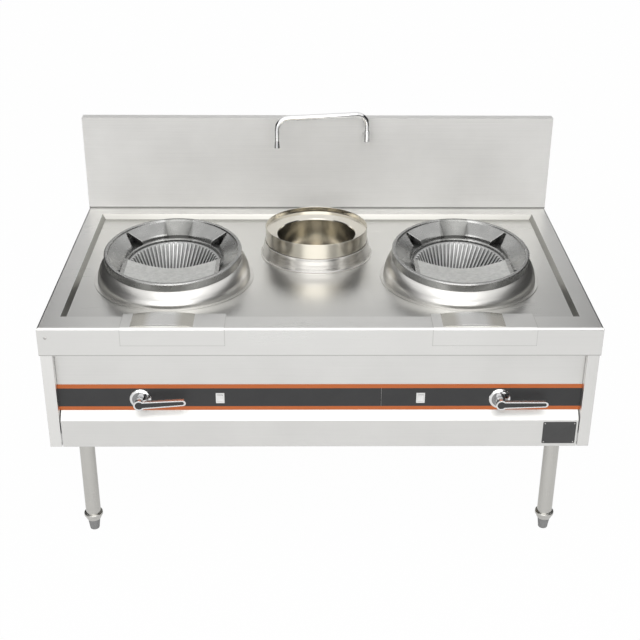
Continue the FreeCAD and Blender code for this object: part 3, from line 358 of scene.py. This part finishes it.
# ------------------------------------------------------------------ legs and screw feet
# Stainless tube legs, pushed up into the frame's sockets, with a spun bush swaged on at the foot. In
# each bush turns a moulded grey screw foot that levels the range.
steel_group, given, out = new_group(
    "brushed_grain",
    [("Place", "Vector", (0, 0, 0)), ("Light", "Color", (0.8, 0.8, 0.8, 1)), ("Dark", "Color", (0.7, 0.7, 0.7, 1)),
     ("Smooth", "Float", 0.2), ("Rough", "Float", 0.4), ("Relief", "Float", 0.05), ("Edge", "Float", 0.0015)],
    [("Color", "Color"), ("Roughness", "Float"), ("Normal", "Vector")])
streak = add_node(steel_group, "TexNoise", Scale=1.0, Detail=4.0, Roughness=0.7)
steel_group.links.new(given.outputs["Place"], streak.inputs["Vector"])
cloud = add_node(steel_group, "TexNoise", Scale=5.0, Detail=3.0, Roughness=0.5)
steel_group.links.new(object_spot(steel_group), cloud.inputs["Vector"])
blend = add_node(steel_group, "Mix", data_type="FLOAT", Factor=0.45)
steel_group.links.new(cloud.outputs["Fac"], blend.inputs[2])
steel_group.links.new(streak.outputs["Fac"], blend.inputs[3])
tone = scaled(steel_group, blend.outputs[0], 0, 1)
soft_edge = add_node(steel_group, "Bevel", samples=3)
steel_group.links.new(given.outputs["Edge"], soft_edge.inputs["Radius"])
steel_group.links.new(blended(steel_group, tone, given.outputs["Dark"], given.outputs["Light"]), out.inputs["Color"])
steel_group.links.new(scaled(steel_group, tone, given.outputs["Rough"], given.outputs["Smooth"], 0, 1),
                      out.inputs["Roughness"])
steel_group.links.new(grain_height(steel_group, streak.outputs["Fac"], given.outputs["Relief"], 0.0004,
                                   soft_edge.outputs[0]), out.inputs["Normal"])


def grained(name, light, smooth, rough, relief, dull, edge, aniso):
    """Stainless material whose grain still has to be told where it runs."""
    values = {"Light": light, "Dark": tuple(part * dull for part in light), "Smooth": smooth, "Rough": rough,
              "Relief": relief, "Edge": edge}
    material = finished(name, steel_group, values, Metallic=1, Anisotropic=aniso)
    tree = material.node_tree
    effect = next(node for node in tree.nodes if node.bl_idname == "ShaderNodeGroup")
    return material, tree, effect, tree.nodes["Principled BSDF"]


ACROSS_GRAIN = 420


def sheet_steel(name, along, light, smooth, rough, relief=0.04, dull=0.93, edge=0.0015, aniso=0.5):
    """Stainless sheet or tube whose polishing grain runs along one axis."""
    material, tree, effect, shader = grained(name, light, smooth, rough, relief, dull, edge, aniso)
    scale = [2.5 if axis == along else ACROSS_GRAIN for axis in range(3)]
    tree.links.new(calc(tree, "MULTIPLY", object_spot(tree), scale, kind="VectorMath"), effect.inputs["Place"])
    run = add_node(tree, "CombineXYZ")
    run.inputs[along].default_value = 1
    tree.links.new(run.outputs[0], shader.inputs["Tangent"])
    return material


STEEL = (0.84, 0.835, 0.815)
for row, y in ROWS:
    for side, sign in SIDES:
        dress(sheet_steel(f"leg_tube_{row}_{side}", 2, (0.63, 0.62, 0.59), 0.2, 0.3), f"leg_{row}_{side}")
dress(coated("foot_nylon", (0.30, 0.30, 0.30), 0.42, relief=0.25, peel=420),
      *[f"foot_{row}_{side}" for row, y in ROWS for side, sign in SIDES])


# ------------------------------------------------------------------ side, back and front panels, bottom rail
# Folded stainless sheets, brushed along their length and screwed to the frame from outside. The rail's
# top edge leans in as a narrow ledge under the controls. A narrow near-black band of painted shadow,
# without metal sheen, stands for the gap behind each side flange.
def covered(tree, target, where, value, blend_type="MIX"):
    """Lay a colour or a number over part of what feeds one of the shader's sockets."""
    colour = target == "Base Color"
    layer = add_node(tree, "Mix", data_type="RGBA" if colour else "FLOAT", blend_type=blend_type)
    socket = tree.nodes["Principled BSDF"].inputs[target]
    under, over, result = (6, 7, 2) if colour else (2, 3, 0)
    tree.links.new(where, layer.inputs["Factor"])
    tree.links.new(socket.links[0].from_socket, layer.inputs[under])
    if isinstance(value, bpy.types.NodeSocket):
        tree.links.new(value, layer.inputs[over])
    else:
        layer.inputs[over].default_value = value
    tree.links.new(layer.outputs[result], socket)


panel_sheet = sheet_steel("panel_sheet", 0, STEEL, 0.32, 0.44)
dress(panel_sheet, "front_panel", "back_panel", "bottom_rail")
side_sheet = sheet_steel("side_sheet", 2, STEEL, 0.32, 0.44)
tree = side_sheet.node_tree
shader = tree.nodes["Principled BSDF"]
aside = axes(tree, calc(tree, "ABSOLUTE", object_spot(tree), kind="VectorMath"))["X"]
# Painted shadow: a thin band at each flange's inner edge is coloured near black and made non-metallic, standing for
# the dark gap behind it.
painted_gap_shadow = (0.8570, 0.8575)
covered(tree, "Base Color", scaled(tree, aside, 1, 0, *painted_gap_shadow), (0.012, 0.012, 0.012, 1))
tree.links.new(scaled(tree, aside, 0, 1, *painted_gap_shadow), shader.inputs["Metallic"])
shader.inputs["Specular IOR Level"].default_value = 0
dress(side_sheet, "side_panel_left", "side_panel_right")


def screws(name, places, facing, size):
    """A set of like pan-head screws with a cross recess, along a seam."""
    rings = [(size, 0), (size, size * 0.12), (size * 0.86, size * 0.36), (size * 0.62, size * 0.5),
             (size * 0.58, size * 0.52), (size * 0.3, size * 0.56), (size * 0.12, size * 0.56)]

    def sink(radius, angle):
        arm = abs(math.sin(2 * angle)) < 0.45
        return -size * 0.3 if radius < size * 0.6 and arm else 0
    add_piece(name, turned_mesh(name, rings, places, facing, 32, sink), screw_steel)


screw_steel = coated("screw_steel", (0.62, 0.61, 0.59), 0.28, relief=0.05, Metallic=1)
BACK_FACE, SIDE_FACE, SCREW_ROWS = 0.532, 0.896, (0.392, 0.69)
back_spots = [(x, BACK_FACE, z) for z in SCREW_ROWS for x in (-0.87, -0.52, -0.17, 0.17, 0.52, 0.87)]
screws("back_panel_screws", back_spots, (0, 1, 0), 0.0055)
for side, sign in SIDES:
    side_spots = [(sign * SIDE_FACE, y, z) for z in SCREW_ROWS for y in (-0.47, 0.0, 0.47)]
    screws(f"side_panel_screws_{side}", side_spots, (sign, 0, 0), 0.0055)


# ------------------------------------------------------------------ control band and stripes
# Dark grey satin film in two lengths with an orange stripe along each edge, stuck flat to the front
# panel between the two flanges.
dress(coated("band_film", (0.032, 0.032, 0.033), 0.42, relief=0.08, peel=700, patch=0.93, edge=0.0004),
      "control_band_left", "control_band_right")
dress(coated("stripe_film", (0.56, 0.135, 0.028), 0.42, relief=0.06, peel=700, patch=0.95, edge=0.0004),
      "orange_stripes")


# ------------------------------------------------------------------ rocker switches
# White moulded plastic switches, one beside each lever, pressed into openings in the band and held by
# their own clips. The rocker tips on a cross pin.
dress(coated("switch_white", (0.86, 0.86, 0.85), 0.25, relief=0.05, peel=600, patch=0.97, edge=0.0008),
      "switch_left", "switch_right", "rocker_left", "rocker_right")


# ------------------------------------------------------------------ gas valves, escutcheons and levers
# Turned brass valves behind the panel, each worked by a chromed cast lever with a dark inlay in its
# face. The stem comes out through a polished round escutcheon.
brass = coated("valve_brass", (0.62, 0.45, 0.20), 0.28, relief=0.12, peel=320, Metallic=1)
dress(brass, "gas_valve_left", "gas_valve_right", "lever_stem_left", "lever_stem_right")
chrome = coated("chrome", (0.88, 0.88, 0.88), 0.07, relief=0.02, peel=120, patch=0.97, Metallic=1)
dress(coated("lever_chrome", (0.86, 0.86, 0.86), 0.15, relief=0.02, peel=120, patch=0.97, Metallic=1),
      "lever_left", "lever_right")
LEVER_X, LEVER_Z = 0.59, 0.542


def reach_from(tree, centre, kept):
    """How far a point lies from a centre, counted along the axes that are kept."""
    local = calc(tree, "SUBTRACT", object_spot(tree), centre, kind="VectorMath")
    return calc(tree, "LENGTH", calc(tree, "MULTIPLY", local, kept, kind="VectorMath"), kind="VectorMath")


for side, sign in SIDES:
    rose = coated(f"rose_chrome_{side}", (0.86, 0.86, 0.86), 0.10, relief=0.02, peel=120, patch=0.97, Metallic=1)
    tree = rose.node_tree
    # Painted reflection: the rose's inner disc is coloured dark grey, standing for the darker reflection in its
    # recess.
    dark_disc = scaled(tree, reach_from(tree, (sign * LEVER_X, 0, LEVER_Z), (1, 0, 1)), 1, 0, 0.0265, 0.0275)
    covered(tree, "Base Color", dark_disc, (0.30, 0.30, 0.305, 1))
    dress(rose, f"escutcheon_{side}")
dress(coated("inlay_black", (0.035, 0.035, 0.036), 0.35, relief=0.1, peel=520), "lever_inlay_left",
      "lever_inlay_right")


# ------------------------------------------------------------------ gas header and supply pipes
# Steel gas pipe in yellow paint: a header behind the panel, fed at the rear, and a bent supply pipe
# from each valve to its burner. Hexagon union nuts close the joints.
gas_yellow = coated("gas_yellow", (0.72, 0.50, 0.05), 0.36, relief=0.3, peel=240)
dress(gas_yellow, "gas_header", "supply_pipe_left", "supply_pipe_right")
nut_rings = [(0.0118, -0.008), (0.0135, -0.0065), (0.0135, 0.0065), (0.0118, 0.008)]
for side, sign in SIDES:
    nut = turned_mesh(f"union_nut_{side}", nut_rings, [(sign * LEVER_X, -0.425, LEVER_Z)], (0, 1, 0), 6)
    add_piece(f"union_nut_{side}", nut, brass)


# ------------------------------------------------------------------ blowers and air ducts
# Pressed-steel blowers in black powder coat hang beside the burners, with a zinc impeller inside and a
# zinc-coated duct to the mixing chamber.
powder = coated("blower_black", (0.045, 0.045, 0.048), 0.45, relief=0.6, peel=520)
dress(powder, "blower_left", "blower_right")
dress(coated("zinc_coat", (0.56, 0.57, 0.58), 0.40, relief=0.1, peel=60, patch=0.8, Metallic=1),
      "impeller_left", "impeller_right", "air_duct_left", "air_duct_right")


# ------------------------------------------------------------------ worktop and guard plates
# One pressed stainless sheet with a sunk pan, its front and sides folded down as an apron and held by
# small screws. In front of each wok a thin plate is folded over the rim to take the wear of the pans.
def darken(tree, where, tint):
    """Multiply a material's colour by a tint over part of its surface."""
    covered(tree, "Base Color", where, tint, "MULTIPLY")


def facing_of(tree):
    """The three parts of the direction that the surface itself faces."""
    return axes(tree, add_node(tree, "NewGeometry").outputs["True Normal"])


top_sheet = sheet_steel("worktop_sheet", 0, STEEL, 0.26, 0.34, relief=0.02, dull=0.96)
tree = top_sheet.node_tree
spot, facing = axes(tree, object_spot(tree)), facing_of(tree)
in_pan = scaled(tree, spot["Y"], 0, 1, -0.536, -0.534)
for source, start, stop in ((spot["Y"], 0.500, 0.502), (calc(tree, "ABSOLUTE", spot["X"]), 0.880, 0.882)):
    in_pan = calc(tree, "MULTIPLY", in_pan, scaled(tree, source, 1, 0, start, stop))
# Painted shade: the pan's floor is darkened a little, its side walls strongly and its front and back walls partly,
# standing for the shade in the sunk pan.
for source, tint, ends in ((spot["Z"], (0.88, 0.88, 0.875, 1), (0.815, 0.806)),
                           (calc(tree, "ABSOLUTE", facing["X"]), (0.42, 0.42, 0.41, 1), (0.2, 0.6)),
                           (calc(tree, "ABSOLUTE", facing["Y"]), (0.66, 0.655, 0.63, 1), (0.2, 0.6))):
    darken(tree, calc(tree, "MULTIPLY", scaled(tree, source, 0, 1, *ends), in_pan), tint)
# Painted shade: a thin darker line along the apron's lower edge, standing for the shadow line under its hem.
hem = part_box("worktop")[0][2]
darken(tree, scaled(tree, spot["Z"], 1, 0, hem + 0.002, hem + 0.003), (0.62, 0.62, 0.61, 1))
dress(top_sheet, "worktop")

WOK_X, WOK_Y, MIDDLE, RIM_Y = 0.497, -0.110, -0.009, -0.482
for side, sign in SIDES:
    guard = sheet_steel(f"guard_sheet_{side}", 0, STEEL, 0.26, 0.34, relief=0.02, dull=0.96)
    tree = guard.node_tree
    from_rest = calc(tree, "SUBTRACT", object_spot(tree), (sign * WOK_X + MIDDLE, RIM_Y, 0), kind="VectorMath")
    beyond = axes(tree, calc(tree, "ABSOLUTE", from_rest, kind="VectorMath"))
    rest = calc(tree, "MULTIPLY", scaled(tree, beyond["X"], 1, 0, 0.0995, 0.1005),
                scaled(tree, beyond["Y"], 1, 0, 0.0505, 0.0525))
    covered(tree, "Roughness", rest, 0.18)
    # Painted reflection and shade: the two sides of the raised rest are coloured darker and warmer than its middle,
    # and its front-facing step darker still.
    darken(tree, calc(tree, "MULTIPLY", scaled(tree, beyond["X"], 0, 1, 0.035, 0.062), rest), (0.74, 0.72, 0.67, 1))
    step = scaled(tree, facing_of(tree)["Y"], 1, 0, -0.9, -0.8)
    darken(tree, calc(tree, "MULTIPLY", step, rest), (0.5, 0.5, 0.49, 1))
    spot = axes(tree, object_spot(tree))
    low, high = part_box(f"guard_plate_{side}")
    # Painted shade: a thin darker line along the plate's side and lower edges, standing for the shadow where it
    # meets the sheet below.
    for axis, end, inward in (("X", low[0], 0.0025), ("X", high[0], -0.0025), ("Z", low[2], 0.0025)):
        darken(tree, scaled(tree, spot[axis], 1, 0, end + inward / 2, end + inward), (0.82, 0.82, 0.81, 1))
    dress(guard, f"guard_plate_{side}")
FRONT = -0.542
panel_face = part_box("front_panel")[0][1]
screws("apron_screw", [(-0.874, FRONT, 0.780)], (0, -1, 0), 0.0045)
screws("front_panel_screws", [(x, panel_face, 0.716) for x in (0.836, -0.836)], (0, -1, 0), 0.004)


# ------------------------------------------------------------------ wok collars
# Stainless collars drawn and spun to a bulging wall, with a flat flange that is welded to the pan and
# polished over. The ring sits in the leaning seat at their top.
def spun_steel(name, centre, light, smooth, rough, relief=0.04, dull=0.9, edge=0.001, aniso=0.4):
    """Stainless turned or drawn about an upright axis, with the grain running round it."""
    material, tree, effect, shader = grained(name, light, smooth, rough, relief, dull, edge, aniso)
    local = calc(tree, "SUBTRACT", object_spot(tree), (*centre, 0), kind="VectorMath")
    split = axes(tree, local)
    unroll = add_node(tree, "CombineXYZ")
    tree.links.new(calc(tree, "ARCTAN2", split["Y"], split["X"]), unroll.inputs[0])
    tree.links.new(reach_from(tree, (*centre, 0), (1, 1, 0)), unroll.inputs[1])
    tree.links.new(split["Z"], unroll.inputs[2])
    scale = (0.6, ACROSS_GRAIN, ACROSS_GRAIN)
    tree.links.new(calc(tree, "MULTIPLY", unroll.outputs[0], scale, kind="VectorMath"), effect.inputs["Place"])
    run = calc(tree, "CROSS_PRODUCT", (0, 0, 1), local, kind="VectorMath")
    tree.links.new(run, shader.inputs["Tangent"])
    return material


for side, sign in SIDES:
    station = (sign * WOK_X + MIDDLE, WOK_Y)
    dress(spun_steel(f"collar_steel_{side}", station, (0.72, 0.71, 0.685), 0.26, 0.38, aniso=0.55),
          f"wok_collar_{side}")


# ------------------------------------------------------------------ fire bowls, fins and burners
# Grey iron castings: a bowl under each ring with a crown of leaning fins round its wall, and a burner
# with a ring of jets bolted under it. The skin is as the sand left it, with painted shade darkening it in
# the corners and recesses.
cast_group, given, out = new_group(
    "cast_skin",
    [("Raised", "Color", (0.5, 0.5, 0.5, 1)), ("Mottle and shade", "Color", (0.2, 0.2, 0.2, 1)), ("Sand", "Float", 480),
     ("Worn and highlit", "Color", (0.7, 0.7, 0.7, 1)), ("Smooth", "Float", 0.4), ("Rough", "Float", 0.6),
     ("Relief", "Float", 0.5), ("Edge", "Float", 0.002), ("Corner", "Float", 0.02)],
    [("Color", "Color"), ("Roughness", "Float"), ("Normal", "Vector")])
spot = object_spot(cast_group)
sand = add_node(cast_group, "TexNoise", Detail=3.0, Roughness=0.6)
cast_group.links.new(spot, sand.inputs["Vector"])
cast_group.links.new(given.outputs["Sand"], sand.inputs["Scale"])
patch = add_node(cast_group, "TexNoise", Scale=22.0, Detail=5.0, Roughness=0.6)
cast_group.links.new(spot, patch.inputs["Vector"])
# Painted shade: ambient occlusion pulls the colour towards the mottle-and-shade tone in corners and recesses.
corner = add_node(cast_group, "AmbientOcclusion", samples=6)
cast_group.links.new(given.outputs["Corner"], corner.inputs["Distance"])
unshaded_share = scaled(cast_group, corner.outputs["AO"], 0, 1, 0.25, 0.95)
mottle_and_shade_share = calc(cast_group, "MULTIPLY", unshaded_share, scaled(cast_group, patch.outputs["Fac"], 0.78, 1))
soft_edge = add_node(cast_group, "Bevel", samples=4)
cast_group.links.new(given.outputs["Edge"], soft_edge.inputs["Radius"])
# Edge wear and painted highlight: softened edges away from corners are paler, partly wear and partly standing for
# the glint on them.
alike = calc(cast_group, "DOT_PRODUCT", soft_edge.outputs[0],
             add_node(cast_group, "NewGeometry").outputs["True Normal"], kind="VectorMath")
worn_and_highlit = calc(cast_group, "MULTIPLY", scaled(cast_group, alike, 1, 0, 0.9, 0.985), unshaded_share)
skin = blended(cast_group, mottle_and_shade_share, given.outputs["Mottle and shade"], given.outputs["Raised"])
cast_group.links.new(blended(cast_group, worn_and_highlit, skin, given.outputs["Worn and highlit"]), out.inputs["Color"])
cast_group.links.new(scaled(cast_group, patch.outputs["Fac"], given.outputs["Rough"], given.outputs["Smooth"]),
                     out.inputs["Roughness"])
cast_group.links.new(grain_height(cast_group, sand.outputs["Fac"], given.outputs["Relief"], 0.0009,
                                  soft_edge.outputs[0]), out.inputs["Normal"])


def cast_metal(name, raised, mottle_and_shade_tone, smooth, relief=0.5, edge=0.002, sand=480, corner=0.02, **shader_values):
    """Sand-cast iron or steel with its moulded skin."""
    values = {"Raised": raised, "Mottle and shade": mottle_and_shade_tone, "Worn and highlit": tuple(min(1.0, part * 1.7) for part in raised),
              "Sand": sand, "Smooth": smooth, "Rough": smooth * 1.3, "Relief": relief, "Edge": edge,
              "Corner": corner}
    return finished(name, cast_group, values, **shader_values)


dress(cast_metal("bowl_skin", (0.50, 0.50, 0.49), (0.10, 0.10, 0.10), 0.5, corner=0.04, Metallic=0.5),
      "fire_bowl_left", "fire_bowl_right")
# Painted light: the fins are coloured much paler than the bowl, though cast from the same grey iron, standing for
# the light falling on them.
dress(cast_metal("fin_skin", (0.90, 0.90, 0.89), (0.05, 0.05, 0.05), 0.4, corner=0.012, edge=0.0012, Metallic=0.5),
      "bowl_fins_left", "bowl_fins_right")
dress(cast_metal("burner_skin", (0.16, 0.155, 0.15), (0.05, 0.05, 0.05), 0.55, Metallic=0.5),
      "burner_left", "burner_right")


# ------------------------------------------------------------------ wok rings
# Heavy steel castings that carry the wok on sloping lugs, with flame channels between them and a
# crescent plate at the cook's side. They are shot-blasted to an even silver grey and lift off.
def ring_metal(name, centre):
    """Machined steel on the lugs and rim, with the paler as-cast face of the crescent plate and painted shade in the
    rear flame channel.
    """
    material = cast_metal(name, (0.43, 0.43, 0.42), (0.08, 0.08, 0.078), 0.24, relief=0.1,
                          edge=0.003, corner=0.03, Metallic=0.95)
    tree = material.node_tree
    local = calc(tree, "SUBTRACT", object_spot(tree), (*centre, 0), kind="VectorMath")
    split = axes(tree, local)
    aside = calc(tree, "ABSOLUTE", split["X"])
    plate = scaled(tree, reach_from(tree, (*centre, 0), (1, 1, 0)), 1, 0, 0.218, 0.222)
    for source, start, stop in ((split["Y"], -0.028, -0.024), (aside, 0.150, 0.152)):
        plate = calc(tree, "MULTIPLY", plate, scaled(tree, source, 1, 0, start, stop))
    mottle = add_node(tree, "TexNoise", Scale=60.0, Detail=6.0, Roughness=0.7)
    tree.links.new(local, mottle.inputs["Vector"])
    pale = blended(tree, scaled(tree, mottle.outputs["Fac"], 0, 1), (0.56, 0.565, 0.55, 1), (0.76, 0.76, 0.745, 1))
    # Painted shade: the rear flame channel is darkened, standing for the shade in it.
    channel = calc(tree, "MULTIPLY", scaled(tree, aside, 1, 0, 0.046, 0.054),
                   scaled(tree, split["Y"], 0, 1, 0.10, 0.13))
    darken(tree, channel, (0.60, 0.60, 0.59, 1))
    covered(tree, "Base Color", plate, pale)
    covered(tree, "Roughness", plate, 0.55)
    return material


for side, sign in SIDES:
    dress(ring_metal(f"ring_skin_{side}", (sign * WOK_X + MIDDLE, WOK_Y)), f"wok_ring_{side}")


# ------------------------------------------------------------------ warm pot
# Spun stainless pot for hot water that lifts out of its drawn collar, with a plain well under it. It is
# polished brighter than the top, and its outer wall is darkened with painted shade, so that it reflects
# less brightly than its lip and bowl.
POT = (MIDDLE, 0.108)
dress(spun_steel("pot_collar_steel", POT, (0.62, 0.605, 0.58), 0.18, 0.28, aniso=0.5), "pot_collar", "pot_well")
pot_steel = spun_steel("pot_steel", POT, (0.76, 0.73, 0.66), 0.12, 0.2, aniso=0.5)
tree = pot_steel.node_tree
# Painted shade: the outer wall is darkened, so that it reflects less brightly than the lip and bowl.
outside = scaled(tree, reach_from(tree, (*POT, 0), (1, 1, 0)), 0, 1, 0.1826, 0.1832)
darken(tree, outside, (0.70, 0.69, 0.67, 1))
dress(pot_steel, "warm_pot")


# ------------------------------------------------------------------ splashback
# Stainless box folded from one sheet, closed behind with a row of screws and welded to the back of the
# top; a thin line of painted shade runs along its foot, and its steel is coloured paler than the other
# sheets to stand for the stronger light on it. Its brushed finish runs along it.
# Painted light: the same steel as the other sheets, coloured paler to stand for the stronger light on it.
splash_sheet = sheet_steel("splash_sheet", 0, (0.95, 0.945, 0.93), 0.76, 0.84)
tree = splash_sheet.node_tree
# Painted shade: a thin dark line just above the foot, standing for the shade in the crease against the top.
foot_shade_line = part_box("splashback")[0][2] + 0.003
height = axes(tree, object_spot(tree))["Z"]
darken(tree, scaled(tree, height, 1, 0, foot_shade_line, foot_shade_line + 0.002), (0.5, 0.5, 0.49, 1))
dress(splash_sheet, "splashback")
splash_spots = [(x, 0.5385, 1.15) for x in (-0.86, -0.43, 0.0, 0.43, 0.86)]
screws("splash_screws", splash_spots, (0, 1, 0), 0.0045)


# ------------------------------------------------------------------ spout
# Swing spout of bent, chromed brass tube on an elbow through the splashback. A ridged brass disc is
# pressed into its mouth as a strainer.
dress(chrome, "spout", "spout_elbow")
mouth_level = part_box("spout")[0][2]
strainer_rings = [(0.0093, 0.0022), (0.0093, 0.0042), (0.0084, 0.0046), (0.0072, 0.0036), (0.0060, 0.0046),
                  (0.0048, 0.0036), (0.0036, 0.0046), (0.0024, 0.0036), (0.0010, 0.0042)]
swivel_x, swivel_y, arm, arm_turn = 0.185, 0.453, 0.345, math.radians(10)
mouth_place = (swivel_x - arm * math.cos(arm_turn), swivel_y - arm * math.sin(arm_turn), mouth_level + 0.0085)
add_piece("spout_strainer", turned_mesh("spout_strainer", strainer_rings, [mouth_place], (0, 0, -1), 36),
          brass, "spout")


# ------------------------------------------------------------------ rating plate
# Thin dark anodised plate with nothing on it, held on the right end of the bottom rail by four small
# rivets. It has a rounded outline and a bevelled edge.
def plate_mesh(name, low, high, thickness, corner):
    """Thin upright plate with rounded corners, its face to the front."""
    outline = []
    for index, (x, z) in enumerate(((high[0] - corner, high[2] - corner), (low[0] + corner, high[2] - corner),
                                    (low[0] + corner, low[2] + corner), (high[0] - corner, low[2] + corner))):
        for step in range(5):
            angle = math.pi / 2 * (index + step / 4)
            outline.append((x + corner * math.cos(angle), z + corner * math.sin(angle)))
    count = len(outline)
    inset = thickness * 0.6
    middle = ((low[0] + high[0]) / 2, (low[2] + high[2]) / 2)
    points = [(x, low[1], z) for x, z in outline]
    points += [(x, low[1] - inset, z) for x, z in outline]
    points += [(x - math.copysign(inset, x - middle[0]), low[1] - thickness, z - math.copysign(inset, z - middle[1]))
               for x, z in outline]
    faces = [tuple(range(count)), tuple(range(3 * count - 1, 2 * count - 1, -1))]
    for row in (0, 1):
        for step in range(count):
            first, second = row * count + step, row * count + (step + 1) % count
            faces.append((first, first + count, second + count, second))
    mesh = bpy.data.meshes.new(name)
    mesh.from_pydata(points, [], faces)
    mesh.shade_smooth()
    return mesh


plate_low, plate_high = (0.738, FRONT + 0.002, 0.383), (0.848, FRONT + 0.002, 0.466)
add_piece("rating_plate", plate_mesh("rating_plate", plate_low, plate_high, 0.001, 0.004),
          coated("plate_film", (0.06, 0.06, 0.06), 0.35, relief=0.05, peel=700, patch=0.92, edge=0.0004))
rivet_rings = [(0.0024, 0), (0.0022, 0.0006), (0.0014, 0.0011), (0.0005, 0.0013)]
rivet_spots = [(x, FRONT + 0.001, z) for x in (0.744, 0.842) for z in (0.389, 0.460)]
add_piece("plate_rivets", turned_mesh("plate_rivets", rivet_rings, rivet_spots, (0, -1, 0), 16), screw_steel)
